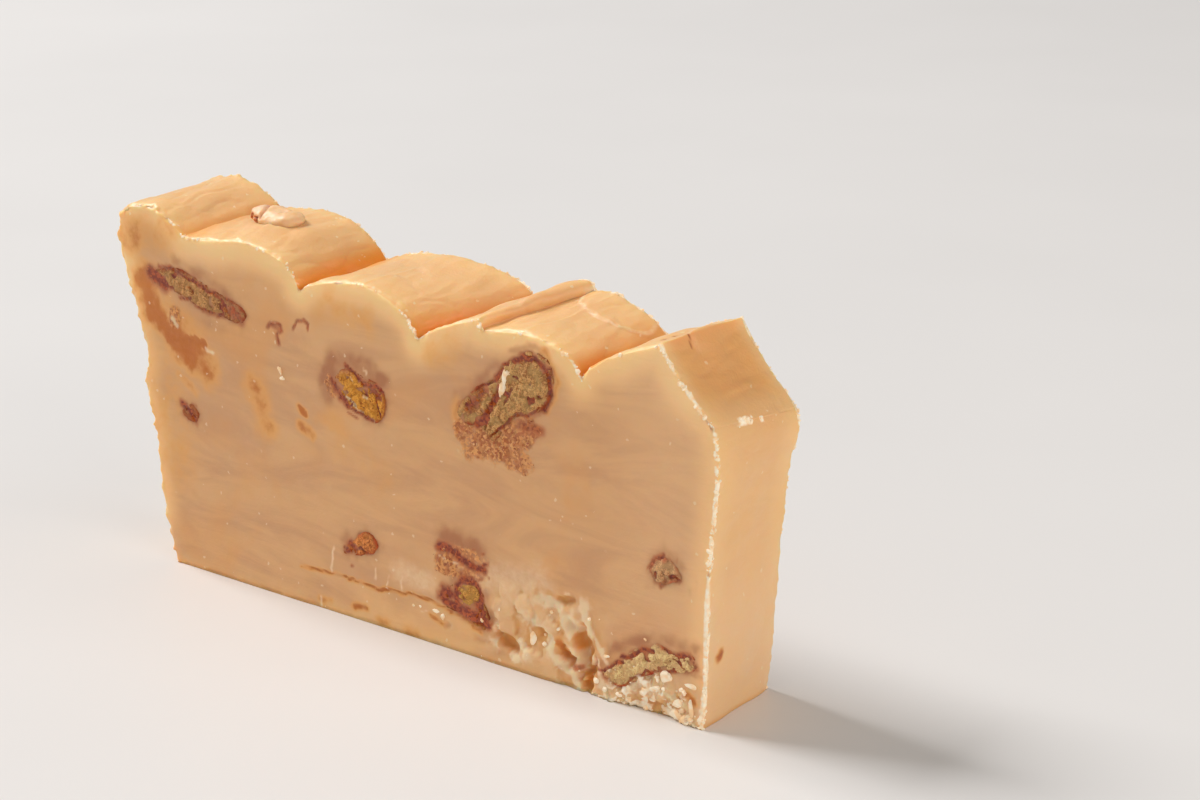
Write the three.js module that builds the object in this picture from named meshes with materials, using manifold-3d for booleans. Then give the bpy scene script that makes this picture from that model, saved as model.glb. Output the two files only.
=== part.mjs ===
// A slice of loaf fudge with pecan pieces in it, cut across a loaf whose top was
// left in ridges.
//
// The slice stands on its base. +X runs along its length towards the bevelled end,
// +Y through its thickness towards the rear face, +Z up, and the origin is the middle
// of the base. All sizes are millimetres.

import * as THREE from "three";
import { mergeVertices } from "three/addons/utils/BufferGeometryUtils.js";
import Module from "manifold-3d";

const wasm = await Module();
wasm.setup();

// ---------------------------------------------------------------- driving sizes

const thickness = 17.6; // between the two knife-cut faces
const gap = 0.3; // clear space round a pecan piece in its pocket

// The top is a row of ridges that run from the front face to the rear face. A ridge
// climbs from its foot over a swell to its crest, and falls over a shoulder to the
// foot of the next one. Each place is [x, z]. The fourth ridge is a thin lip that
// folds over the fifth.
const frontRidges = [
  { foot: [-59.2, 54.8], swell: [-58.6, 58.7], crest: [-51.5, 58.4], shoulder: [-48.6, 58.0] },
  { foot: [-44.3, 54.7], swell: [-40.0, 54.6], crest: [-32.7, 55.9], shoulder: [-20.8, 55.6] },
  { foot: [-19.4, 50.2], swell: [-16.5, 52.6], crest: [-6.4, 53.3], shoulder: [2.9, 51.2] },
  { foot: [4.2, 46.8], swell: [7.2, 49.2], crest: [16.0, 51.9], shoulder: [16.8, 51.6] },
  { foot: [16.5, 50.4], swell: [20.0, 50.8], crest: [24.0, 51.2], shoulder: [32.5, 51.3] },
  { foot: [34.7, 46.5], swell: [36.2, 50.0], crest: [48.4, 53.8], shoulder: [51.6, 48.6] },
];
const rearRidges = [
  { foot: [-58.6, 56.8], swell: [-57.8, 59.7], crest: [-51.0, 60.5], shoulder: [-46.2, 60.9] },
  { foot: [-40.3, 56.9], swell: [-36.0, 57.5], crest: [-30.9, 57.7], shoulder: [-21.5, 57.4] },
  { foot: [-17.5, 51.3], swell: [-14.0, 54.2], crest: [-5.1, 54.4], shoulder: [11.5, 54.6] },
  { foot: [12.5, 49.5], swell: [15.5, 52.6], crest: [20.9, 55.0], shoulder: [23.6, 55.2] },
  { foot: [23.2, 53.2], swell: [25.5, 53.7], crest: [27.5, 53.5], shoulder: [33.5, 51.6] },
  { foot: [38.2, 48.3], swell: [42.0, 52.0], crest: [49.3, 53.9], shoulder: [51.2, 49.9] },
];

// The two ends lean outwards as they rise, because the loaf tin was tapered. Each
// place is [x, z], from the base up to where the top begins.
const frontLeftEnd = [[-49, 0], [-51.3, 5], [-52.8, 15.4], [-53.4, 23], [-55.2, 29.4],
  [-54.4, 33.3], [-57.0, 43], [-59.4, 51], [-59.2, 54.8]];
const rearLeftEnd = [[-48.4, 0], [-50.6, 5], [-52.4, 16], [-54.0, 26], [-55.4, 36],
  [-57.6, 46], [-58.6, 56.8]];
const frontRightEnd = [[56.0, 0], [56.6, 8.8], [56.8, 22], [57.6, 31.5], [58.1, 38], [57.3, 43.9]];
const rearRightEnd = [[54.7, 0], [55.5, 6.3], [56.8, 24.5], [57.8, 34], [59.0, 39.6], [58.9, 42.7]];

// How finely the slice is divided
const stretchesPerSlope = 4; // each ridge has a rising and a falling slope
const rows = 10; // up its height
const layers = 5; // through its thickness

// ---------------------------------------------------------------- solids

// A closed three.js geometry as a manifold solid, and back again.
function toSolid(geometry) {
  const bare = geometry.clone();
  bare.deleteAttribute("normal");
  bare.deleteAttribute("uv");
  const sameSpot = 1e-5;
  const merged = mergeVertices(bare, sameSpot);
  return new wasm.Manifold(new wasm.Mesh({
    numProp: 3,
    vertProperties: new Float32Array(merged.attributes.position.array),
    triVerts: new Uint32Array(merged.index.array),
  }));
}

function toGeometry(solid) {
  const { numProp, vertProperties, triVerts } = solid.getMesh();
  const places = new Float32Array((vertProperties.length / numProp) * 3);
  for (let i = 0; i * numProp < vertProperties.length; i += 1) {
    places.set(vertProperties.subarray(i * numProp, i * numProp + 3), i * 3);
  }
  const geometry = new THREE.BufferGeometry();
  geometry.setAttribute("position", new THREE.BufferAttribute(places, 3));
  geometry.setIndex(new THREE.BufferAttribute(new Uint32Array(triVerts), 1));
  geometry.computeVertexNormals();
  return geometry;
}

// Soft unevenness between -1 and 1 that depends only on the place.
function unevenness(a, b, c) {
  return (Math.sin(a * 1.3 + b * 0.7 + 1.1) + Math.sin(b * 1.9 - c * 1.2 + 0.4)
    + Math.sin(c * 1.6 + a * 2.1 + 2.3)) / 3;
}

// ---------------------------------------------------------------- the fudge slice

const columns = frontRidges.length * 2 * stretchesPerSlope;
const bevelFoot = { front: frontRightEnd.at(-1), rear: rearRightEnd.at(-1) };

const point = ([x, z]) => new THREE.Vector2(x, z);

// The outline of one face's top, as one place for each column of the grid.
function topOutline(ridges, end) {
  const places = [];
  ridges.forEach((ridge, i) => {
    const next = i + 1 < ridges.length ? ridges[i + 1].foot : end;
    const climb = new THREE.QuadraticBezierCurve(
      point(ridge.foot), point(ridge.swell), point(ridge.crest));
    const fall = new THREE.QuadraticBezierCurve(
      point(ridge.crest), point(ridge.shoulder), point(next));
    for (const slope of [climb, fall]) {
      for (let k = 0; k < stretchesPerSlope; k += 1) {
        places.push(slope.getPoint(k / stretchesPerSlope));
      }
    }
  });
  places.push(point(end));
  return places;
}

// The place on one face at a column and a height share, from its four edges. Columns
// stand half evenly and half by the top, so that none cross under the thin lip.
function face(ridges, leftEnd, rightEnd) {
  const top = topOutline(ridges, rightEnd.at(-1));
  const left = new THREE.SplineCurve(leftEnd.map(point));
  const right = new THREE.SplineCurve(rightEnd.map(point));
  const first = top[0];
  const last = top[columns];
  return (column, rise) => {
    const underTop = (top[column].x - first.x) / (last.x - first.x);
    const along = (column / columns + underTop) / 2;
    const base = point(leftEnd[0]).lerp(point(rightEnd[0]), along);
    const upright = base.clone().lerp(top[column], rise);
    const leftBow = left.getPoint(rise).sub(point(leftEnd[0]).lerp(first, rise));
    const rightBow = right.getPoint(rise).sub(point(rightEnd[0]).lerp(last, rise));
    return upright.addScaledVector(leftBow, 1 - along).addScaledVector(rightBow, along);
  };
}

const frontFace = face(frontRidges, frontLeftEnd, frontRightEnd);
const rearFace = face(rearRidges, rearLeftEnd, rearRightEnd);

// The whole block: a grid between the two flat faces, with tops that are a little
// uneven.
function fudgeBlock() {
  const wave = { high: 0.35, perX: 0.22, perY: 0.3, downPower: 6 };
  const geometry = new THREE.BoxGeometry(1, 1, 1, columns, layers, rows);
  const places = geometry.attributes.position;
  for (let i = 0; i < places.count; i += 1) {
    const column = Math.round((places.getX(i) + 0.5) * columns);
    const depth = places.getY(i) + 0.5;
    const rise = places.getZ(i) + 0.5;
    const at = frontFace(column, rise).lerp(rearFace(column, rise), depth);
    const y = (depth - 0.5) * thickness;
    const lift = wave.high * unevenness(at.x * wave.perX, y * wave.perY, 0)
      * Math.sin(depth * Math.PI) * rise ** wave.downPower;
    places.setXYZ(i, at.x, y, at.y + lift);
  }
  return toSolid(geometry);
}

// ---------------------------------------------------------------- pecan pieces

const frontPlane = -thickness / 2;
const rearPlane = thickness / 2;

// Outlines, as [x, z] places, of the pieces that the front cut shows, and how deep
// each goes into the fudge.
const frontPecans = {
  pecan_long: { deep: 4.0, outline: [[-52, 47.2], [-49.6, 48.5], [-46, 49], [-42, 48.1],
    [-38.5, 47], [-34.6, 45.9], [-31.2, 44.5], [-32, 43.1], [-36, 43.3], [-40.3, 43.7],
    [-44, 45], [-48, 46]] },
  pecan_crumbled: { deep: 4.6, outline: [[-12, 38], [-10.2, 39.6], [-7.4, 38.9], [-4, 38.2],
    [-2.6, 36.6], [-2.8, 33.6], [-4.2, 32.5], [-7, 33.3], [-10.4, 34.7], [-12.1, 36.2]] },
  pecan_half: { deep: 5.6, outline: [[29.6, 45.4], [28.4, 48.1], [25.4, 48.5], [22.6, 46.8],
    [20.6, 45.6], [19, 43.2], [16.6, 42], [13.2, 39], [12, 37.2], [13.8, 35.9], [16.6, 36.2],
    [18.3, 34.4], [20.4, 36.4], [23, 39], [26.6, 40], [28.8, 42.6]] },
  pecan_round: { deep: 3.8, outline: [[8.2, 7.6], [10.8, 10.6], [13.6, 11.6], [15.8, 10.7],
    [16.4, 8.4], [17.3, 5.8], [16, 4.9], [12.8, 6.4], [9.6, 6.6]] },
  pecan_sliver: { deep: 2.8, outline: [[-11.6, 10.4], [-9.4, 12.6], [-6.8, 14.5], [-5, 13.6],
    [-4.9, 12.2], [-7.4, 11.2]] },
  pecan_chip: { deep: 2.6, outline: [[47, 21.4], [48.3, 23.5], [50.6, 23.1], [52.2, 21.2],
    [50.2, 20.6], [48.2, 19.8]] },
  pecan_corner: { deep: 3.6, outline: [[38.6, 4], [41.8, 6.4], [44.6, 8.8], [47.6, 10.4],
    [51.2, 10.1], [54.2, 10.5], [55, 9.2], [52.4, 7.8], [48.6, 7.1], [45.2, 5.3], [42.2, 3.1],
    [40.2, 3.1]] },
  pecan_buried: { deep: 2.4, outline: [[-46.2, 26], [-45, 27.6], [-43.2, 26.8], [-42.8, 25.2],
    [-44.4, 24.9]] },
};

// The rear cut shows pieces of the same kinds: each has a front piece's outline, moved
// to a middle of its own, turned by some degrees and resized.
const rearPecans = {
  pecan_rear_half: { like: "pecan_half", middle: [-31, 31], turn: 165, size: 0.85 },
  pecan_rear_long: { like: "pecan_long", middle: [5, 42], turn: 14, size: 0.8 },
  pecan_rear_round: { like: "pecan_crumbled", middle: [35, 29], turn: 80, size: 1.0 },
  pecan_rear_low: { like: "pecan_round", middle: [2, 13], turn: -35, size: 0.9 },
  pecan_rear_chip: { like: "pecan_sliver", middle: [-17, 18], turn: 50, size: 0.85 },
};

function movedOutline({ like, middle, turn, size }) {
  const outline = frontPecans[like].outline.map(point);
  const centre = new THREE.Box2().setFromPoints(outline).getCenter(new THREE.Vector2());
  return outline.map((place) => place.sub(centre).multiplyScalar(size)
    .rotateAround(new THREE.Vector2(), THREE.MathUtils.degToRad(turn)).add(point(middle)));
}

// A piece behind its cut face: a smooth closed outline, straight through and rounded
// off at its inner end. `grown` makes the pocket that it lies in.
function pecanBehindCut(outline, deep, plane, grown) {
  const roundOff = { bevelThickness: 0.9, bevelSize: 0.4, bevelSegments: 2 };
  const spacing = 1.5; // between the places along the outline
  const loop = new THREE.CatmullRomCurve3(
    outline.map(({ x, y }) => new THREE.Vector3(x, y, 0)), true);
  const count = Math.round(loop.getLength() / spacing);
  const places = loop.getSpacedPoints(count).slice(0, count);
  const shape = new THREE.Shape(places.map(({ x, y }) => new THREE.Vector2(x, y)));
  const straight = deep + grown;
  const geometry = new THREE.ExtrudeGeometry(shape, {
    ...roundOff, depth: straight, bevelOffset: grown - roundOff.bevelSize });
  geometry.rotateX(Math.PI / 2); // the outline's up is now +Z, and its depth runs to -Y
  const outerEnd = plane < 0 ? straight : 0;
  geometry.translate(0, plane + outerEnd, 0);
  return toSolid(geometry);
}

// What the knife left of a piece: nothing stands out of the two cut faces.
function betweenCuts(solid) {
  const reach = 200;
  const cutDepth = 0.15; // the cut nuts stand a little below the fudge
  const slab = new THREE.BoxGeometry(reach, thickness - 2 * cutDepth, reach);
  return solid.intersect(toSolid(slab));
}

// ---------------------------------------------------------------- lumps

// A lumpy ellipsoid with half sizes along x, y and z, turned in the cut's plane.
function lump({ at, half, turn }, grown = 0) {
  const around = 12;
  const down = 7;
  const roughness = 0.1;
  const geometry = new THREE.SphereGeometry(1, around, down);
  const places = geometry.attributes.position;
  const direction = new THREE.Vector3();
  for (let i = 0; i < places.count; i += 1) {
    direction.fromBufferAttribute(places, i);
    const stretch = 1 + roughness * unevenness(
      direction.x * 2 + at[0], direction.y * 2 + at[1], direction.z * 2 + at[2]);
    places.setXYZ(i,
      direction.x * (half[0] * stretch + grown),
      direction.y * (half[1] * stretch + grown),
      direction.z * (half[2] * stretch + grown));
  }
  geometry.rotateY(-THREE.MathUtils.degToRad(turn));
  geometry.translate(...at);
  return toSolid(geometry);
}

// One pecan piece lies on the second ridge, half sunk in it and coated with fudge. It
// is two lumps grown together.
const topPecan = [{ at: [-34.4, 1.2, 57.2], half: [4.7, 3.2, 1.7], turn: -4 },
  { at: [-31.0, 0.6, 57.2], half: [2.9, 2.8, 1.4], turn: 8 }];

const union = (solids) => solids.reduce((whole, solid) => whole.add(solid));

// ---------------------------------------------------------------- chips and hollows

// Where the cut tore out crumbs: a chipped patch, a hollow and a broken corner low on
// the front face, at the foot of the bevelled end.
const chips = [
  { at: [21.6, frontPlane, 5.0], half: [3.8, 1.0, 2.7], turn: -20 }, // shallow pit
  { at: [27.0, frontPlane, 9.6], half: [3.0, 0.7, 1.5], turn: 15 }, // flaked patch
  { at: [32.0, frontPlane, 14.0], half: [3.8, 0.7, 1.0], turn: 10 }, // small scar
  { at: [34.4, frontPlane, 4.6], half: [3.4, 2.6, 5.4], turn: 12 }, // deep hollow
  { at: [55.8, frontPlane - 0.6, 0.4], half: [3.4, 3.2, 3.4], turn: 0 }, // broken corner
  { at: [46.4, frontPlane, 0.2], half: [6.0, 1.1, 2.0], turn: 0 }, // crumbled base edge
];

// ---------------------------------------------------------------- the scene

const fudge = new THREE.MeshStandardMaterial({ color: 0xdcb083, roughness: 0.45, metalness: 0 });
const nut = new THREE.MeshStandardMaterial({ color: 0x9a6a3c, roughness: 0.8, metalness: 0 });
const coatedNut = new THREE.MeshStandardMaterial({ color: 0xe6c9a8, roughness: 0.5, metalness: 0 });

const group = new THREE.Group();
const pieces = [];
const pockets = [];

function addCutPecan(name, outline, deep, plane) {
  const solid = betweenCuts(pecanBehindCut(outline, deep, plane, 0));
  pieces.push({ name, material: nut, solid });
  pockets.push(pecanBehindCut(outline, deep, plane, gap));
}

for (const [name, { outline, deep }] of Object.entries(frontPecans)) {
  addCutPecan(name, outline.map(point), deep, frontPlane);
}
for (const [name, piece] of Object.entries(rearPecans)) {
  addCutPecan(name, movedOutline(piece), frontPecans[piece.like].deep, rearPlane);
}
pieces.push({
  name: "pecan_on_top", material: coatedNut, solid: union(topPecan.map((one) => lump(one))) });
pockets.push(union(topPecan.map((one) => lump(one, gap))));

const slice = fudgeBlock()
  .subtract(union(pockets))
  .subtract(union(chips.map((chip) => lump(chip))));
pieces.unshift({ name: "fudge_slice", material: fudge, solid: slice });

for (const { name, material, solid } of pieces) {
  const mesh = new THREE.Mesh(toGeometry(solid), material.clone());
  mesh.name = name;
  group.add(mesh);
}

// The origin is the middle of the base.
const bounds = new THREE.Box3().setFromObject(group);
const middle = bounds.getCenter(new THREE.Vector3());
group.position.set(-middle.x, -middle.y, -bounds.min.z);

export default group;
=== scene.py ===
import math

import bmesh
import bpy
import numpy as np
from mathutils import Matrix, Vector
from mathutils.bvhtree import BVHTree
from mathutils.kdtree import KDTree


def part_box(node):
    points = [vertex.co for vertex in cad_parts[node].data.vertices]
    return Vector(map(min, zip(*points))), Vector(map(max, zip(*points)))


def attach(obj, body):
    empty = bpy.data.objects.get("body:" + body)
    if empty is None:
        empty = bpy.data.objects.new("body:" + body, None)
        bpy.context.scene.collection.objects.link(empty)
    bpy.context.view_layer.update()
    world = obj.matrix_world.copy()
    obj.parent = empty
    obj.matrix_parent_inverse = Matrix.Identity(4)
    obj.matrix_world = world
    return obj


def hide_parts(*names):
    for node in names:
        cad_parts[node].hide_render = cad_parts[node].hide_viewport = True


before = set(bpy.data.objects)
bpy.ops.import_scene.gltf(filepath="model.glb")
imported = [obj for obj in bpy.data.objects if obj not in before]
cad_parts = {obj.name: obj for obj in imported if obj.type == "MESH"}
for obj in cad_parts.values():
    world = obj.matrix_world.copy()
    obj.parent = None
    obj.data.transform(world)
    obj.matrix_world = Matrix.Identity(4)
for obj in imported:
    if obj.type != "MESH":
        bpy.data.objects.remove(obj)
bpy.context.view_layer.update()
MM = 0.001

# ---------------------------------------------------------------------------
# The slice of fudge. One thick cut across a loaf that was poured warm and left
# in ridges, so its two big faces are knife cuts and its top and ends are the
# loaf's own skin. It stands on its flat base and carries every other piece.

THICKNESS = 17.6
GRID_STEP = 0.37
# How far grains and crumbs may stand out from the middle of the slice
OUTMOST = THICKNESS / 2 + 0.48

# Foot, swell, crest and shoulder of each ridge on the front and the rear cut. The
# fifth is the thin lip that folds over the last one
FRONT_RIDGES = [
    [(-59.2, 54.8), (-58.6, 58.7), (-51.5, 58.4), (-48.6, 58.0)],
    [(-44.3, 54.7), (-40.0, 54.6), (-32.7, 55.9), (-20.8, 55.6)],
    [(-19.4, 50.2), (-16.5, 52.6), (-6.4, 53.3), (2.9, 51.2)],
    [(4.2, 46.8), (7.2, 49.2), (16.0, 51.9), (16.8, 51.6)],
    [(16.5, 50.4), (20.0, 50.8), (24.0, 51.2), (32.5, 51.3)],
    [(34.7, 46.5), (36.2, 50.0), (48.4, 53.8), (51.6, 48.6)],
]
REAR_RIDGES = [
    [(-58.6, 56.8), (-57.8, 59.7), (-51.0, 60.5), (-46.2, 60.9)],
    [(-40.3, 56.9), (-36.0, 57.5), (-30.9, 57.7), (-21.5, 57.4)],
    [(-17.5, 51.3), (-14.0, 54.2), (-5.1, 54.4), (11.5, 54.6)],
    [(12.5, 49.5), (15.5, 52.6), (20.9, 55.0), (23.6, 55.2)],
    [(23.2, 53.2), (25.5, 53.7), (27.5, 53.5), (33.5, 51.6)],
    [(38.2, 48.3), (42.0, 52.0), (49.3, 53.9), (51.2, 49.9)],
]
FRONT_LEFT_END = [(-49, 0), (-51.3, 5), (-52.8, 15.4), (-53.4, 23), (-55.2, 29.4),
                  (-54.4, 33.3), (-57.0, 43), (-59.4, 51), (-59.2, 54.8)]
REAR_LEFT_END = [(-48.4, 0), (-50.6, 5), (-52.4, 16), (-54.0, 26), (-55.4, 36),
                 (-57.6, 46), (-58.6, 56.8)]
FRONT_RIGHT_END = [(56.0, 0), (56.6, 8.8), (56.8, 22), (57.6, 31.5), (58.1, 38), (57.3, 43.9)]
REAR_RIGHT_END = [(54.7, 0), (55.5, 6.3), (56.8, 24.5), (57.8, 34), (59.0, 39.6), (58.9, 42.7)]


def spread(length, step=GRID_STEP, fine=(0.0, 0.1, 0.24, 0.46)):
    """Shares from 0 to 1 along a length, close together at both ends."""
    middle = max(2, round((length - 2 * fine[-1]) / step))
    inner = np.linspace(fine[-1], length - fine[-1], middle + 1)[1:-1]
    return np.concatenate([fine, inner, length - np.array(fine)[::-1]]) / length


def bend(a, b, c, share):
    """Points of the quadratic curve from a to c that b pulls."""
    share = np.asarray(share)[:, None]
    return (1 - share) ** 2 * a + 2 * share * (1 - share) * b + share ** 2 * c


def spline(points, share):
    """Points of the smooth curve through the given ones, evenly by their count."""
    points = np.array(points, float)
    place = np.clip(np.asarray(share), 0, 1) * (len(points) - 1)
    start = np.minimum(place.astype(int), len(points) - 2)
    t = (place - start)[:, None]
    p0, p1 = points[np.maximum(start - 1, 0)], points[start]
    p2, p3 = points[start + 1], points[np.minimum(start + 2, len(points) - 1)]
    v0, v1 = (p2 - p0) / 2, (p3 - p1) / 2
    return ((2 * p1 - 2 * p2 + v0 + v1) * t ** 3
            + (3 * p2 - 3 * p1 - 2 * v0 - v1) * t ** 2 + v0 * t + p1)


def top_outline(ridges, end, shares):
    """The top edge of one cut, from the left end over all ridges to the right end."""
    ridges = np.array(ridges, float)
    feet = np.vstack([ridges[:, 0], [end]])
    slopes = []
    for i, (foot, swell, crest, shoulder) in enumerate(ridges):
        slopes.append(bend(foot, swell, crest, shares[2 * i][:-1]))
        slopes.append(bend(crest, shoulder, feet[i + 1], shares[2 * i + 1][:-1]))
    return np.vstack(slopes + [[end]])


def cut_face(top, left_end, right_end, rise):
    """Places on one cut face, [column, row], filled in between its four edges."""
    count = len(top)
    under = (top[:, 0] - top[0, 0]) / (top[-1, 0] - top[0, 0])
    # Only the very top overhangs: under it the columns keep their order and a gap
    gap = 0.15 * np.arange(count)
    ordered = np.column_stack([np.maximum.accumulate(top[:, 0] - gap) + gap, top[:, 1]])
    along = ((np.arange(count) / (count - 1) + under) / 2)[:, None, None]
    rise = rise[None, :, None]
    base = np.array(left_end[0]) + (np.array(right_end[0]) - left_end[0]) * along
    upright = base + (ordered[:, None] - base) * rise + (top - ordered)[:, None] * rise ** 60
    left, right = spline(left_end, rise.ravel()), spline(right_end, rise.ravel())
    left_bow = left - (left[0] + (left[-1] - left[0]) * rise[0])
    right_bow = right - (right[0] + (right[-1] - right[0]) * rise[0])
    return upright + left_bow[None] * (1 - along) + right_bow[None] * along


def slope_length(curve):
    """Length of one climb or fall, given by the three points of its curve."""
    a, b, c = np.array(curve, float)
    line = bend(a, b, c, np.linspace(0, 1, 20))
    return np.linalg.norm(np.diff(line, axis=0), axis=1).sum()


def slope_shares():
    """How finely each climb and fall of the top is divided, alike on both cuts."""
    shares = []
    for i in range(len(FRONT_RIDGES)):
        ends = []
        for ridges, end in ((FRONT_RIDGES, FRONT_RIGHT_END), (REAR_RIDGES, REAR_RIGHT_END)):
            following = ridges[i + 1][0] if i + 1 < len(ridges) else end[-1]
            foot, swell, crest, shoulder = ridges[i]
            ends.append((slope_length([foot, swell, crest]),
                         slope_length([crest, shoulder, following])))
        for climb in np.mean(ends, axis=0):
            fine = (0.0, 0.1, 0.24, 0.46) if climb > 2.5 else (0.0, 0.2)
            shares.append(spread(climb, fine=fine))
    return shares


shares = slope_shares()
rise = spread(54)
depth = spread(THICKNESS)
front = cut_face(top_outline(FRONT_RIDGES, FRONT_RIGHT_END[-1], shares),
                 FRONT_LEFT_END, FRONT_RIGHT_END, rise)
rear = cut_face(top_outline(REAR_RIDGES, REAR_RIGHT_END[-1], shares),
                REAR_LEFT_END, REAR_RIGHT_END, rise)
to_middle = -(min(front[..., 0].min(), rear[..., 0].min())
              + max(front[..., 0].max(), rear[..., 0].max())) / 2


def closed_grid(front, rear, depth):
    """A closed skin of squares round the grid between the two cuts, in millimetres.

    Returns the places, the squares, and for each place the face it lies on:
    its column, layer and row."""
    columns, rows, layers = front.shape[0], front.shape[1], len(depth)
    index = -np.ones((columns, layers, rows), int)
    outer = np.zeros(index.shape, bool)
    for axis in range(3):
        outer[(slice(None),) * axis + (0,)] = True
        outer[(slice(None),) * axis + (-1,)] = True
    index[outer] = np.arange(outer.sum())
    cells = np.argwhere(outer)
    share = depth[cells[:, 1]][:, None]
    flat = (front[cells[:, 0], cells[:, 2]] * (1 - share) + rear[cells[:, 0], cells[:, 2]] * share)
    places = np.column_stack([flat[:, 0] + to_middle, (share[:, 0] - 0.5) * THICKNESS, flat[:, 1]])

    def squares(sheet, flip):
        """The squares of one face of the grid, turned so that they face outward."""
        corners = [sheet[:-1, :-1], sheet[1:, :-1], sheet[1:, 1:], sheet[:-1, 1:]]
        square = np.stack([c.ravel() for c in corners], axis=1)
        return square[:, ::-1] if flip else square

    skin = [squares(index[:, 0], False), squares(index[:, -1], True),
            squares(index[0], True), squares(index[-1], False),
            squares(index[:, :, 0], True), squares(index[:, :, -1], False)]
    return places, np.vstack(skin), cells


places, squares, cells = closed_grid(front, rear, depth)
last_column, last_layer, last_row = front.shape[0] - 1, len(depth) - 1, front.shape[1] - 1
on_front = cells[:, 1] == 0
on_rear = cells[:, 1] == last_layer
on_cut = on_front | on_rear
on_top = cells[:, 2] == last_row
on_base = cells[:, 2] == 0
on_left = cells[:, 0] == 0
on_right = cells[:, 0] == last_column
edges = np.unique(np.sort(np.vstack([squares[:, [0, 1]], squares[:, [1, 2]],
                                     squares[:, [2, 3]], squares[:, [3, 0]]]), axis=1), axis=0)

# How far each place is from the nearest edge of a cut face, and how sugary that edge is
rim_points = np.flatnonzero(on_cut & (on_top | on_base | on_left | on_right))
rim_tree = KDTree(len(rim_points))
for i, place in enumerate(rim_points):
    rim_tree.insert(places[place], i)
rim_tree.balance()
nearest_rim = np.zeros(len(places), int)
rim_distance = np.zeros(len(places))
for i, place in enumerate(places):
    _, nearest_rim[i], rim_distance[i] = rim_tree.find(place)
rim_column, rim_row = cells[rim_points, 0], cells[rim_points, 2]
rim_is_front = cells[rim_points, 1] == 0
slope_starts = np.cumsum([0] + [len(s) - 1 for s in shares])
third_ridge, bevel_start = slope_starts[4], slope_starts[-2]
NOTCH_COLUMNS = 12
rim_top = rim_row == last_row
rim_fall = np.zeros(len(rim_points), bool)
for climb_end, slope_end in zip(slope_starts[1::2], slope_starts[2::2]):
    rim_fall |= (rim_column > (climb_end + slope_end) / 2) & (rim_column <= slope_end)
rim_notch = np.zeros(len(rim_points), bool)
for notch in slope_starts[[2, 4, 6, 10]]:
    rim_notch |= np.abs(rim_column - notch) < NOTCH_COLUMNS
rim_right = rim_column == last_column
rim_places = places[rim_points]
rim_sugar = np.full(len(rim_points), 0.12)
for where, how_sugary in (
        (rim_top & rim_is_front, 0.22),
        (rim_top & rim_is_front & rim_fall, 0.60),
        (rim_top & ~rim_is_front, 0.60),
        (rim_top & ~rim_is_front & (rim_column > third_ridge), 0.85),
        (rim_top & (rim_column > bevel_start), 0.75),
        (rim_top & rim_is_front & rim_notch, 0.68),
        (rim_right, 1.0),
        (rim_right & ~rim_is_front, 0.55),
        (rim_right & ~rim_is_front & (rim_places[:, 2] > 36), 0.95),
        ((rim_row == 0) & rim_is_front & (rim_places[:, 0] > 38), 0.7)):
    rim_sugar[where] = how_sugary
sugar_here = rim_sugar[nearest_rim]


def neighbour_mean(places, edges):
    """The mean place of the neighbours of each place."""
    total = np.zeros_like(places)
    count = np.zeros(len(places))
    for a, b in ((0, 1), (1, 0)):
        np.add.at(total, edges[:, a], places[edges[:, b]])
        np.add.at(count, edges[:, a], 1)
    return total / count[:, None]


def skin_normals(places, squares):
    """Which way the skin faces at each place."""
    diagonal = places[squares[:, 2]] - places[squares[:, 0]]
    other = places[squares[:, 3]] - places[squares[:, 1]]
    facing = np.cross(diagonal, other)
    normals = np.zeros_like(places)
    for corner in range(4):
        np.add.at(normals, squares[:, corner], facing)
    return normals / np.linalg.norm(normals, axis=1)[:, None]


normals = skin_normals(places, squares)
KNIFE_BURR = 0.35
for _ in range(3):
    near = (rim_distance < KNIFE_BURR)[:, None] & ~on_base[:, None]
    places = np.where(near, places * 0.5 + neighbour_mean(places, edges) * 0.5, places)

# The edges are rounded off, softly where no sugar was dragged up, and so is the crease
# between the bevel and the right end
EDGE_ROUNDING, CREASE_ROUNDING, CREASE_WIDTH = 0.36, 0.34, 3.0
softness = 1.1 - 0.7 * sugar_here
rounding = EDGE_ROUNDING * softness * np.clip(1 - rim_distance / softness, 0, 1) ** 2
places = places - normals[rim_points[nearest_rim]] * (rounding * ~on_base)[:, None]
crease_points = np.flatnonzero((cells[:, 0] == last_column) & on_top)
crease_points = crease_points[np.argsort(cells[crease_points, 1])]
near_crease = (on_top & (cells[:, 0] > bevel_start)) | on_right
crease = crease_points[cells[:, 1]]
crease_distance = np.linalg.norm(places - places[crease], axis=1)
crease_round = np.clip(1 - crease_distance / CREASE_WIDTH, 0, 1) ** 2 * near_crease
crease_round = CREASE_ROUNDING * crease_round
places = places - normals[crease] * crease_round[:, None]


def lattice(ix, iy, iz, seed):
    """A fixed pseudo-random number from -1 to 1 for each whole-numbered place."""
    mixed = (ix * 374761393 + iy * 668265263 + iz * 1274126177 + seed * 362437) & 0xFFFFFFFF
    mixed = ((mixed ^ (mixed >> 13)) * 1103515245) & 0xFFFFFFFF
    mixed = ((mixed ^ (mixed >> 15)) * 2246822519) & 0xFFFFFFFF
    return ((mixed ^ (mixed >> 16)) & 0xFFFFFF) / 0x7FFFFF - 1


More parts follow.
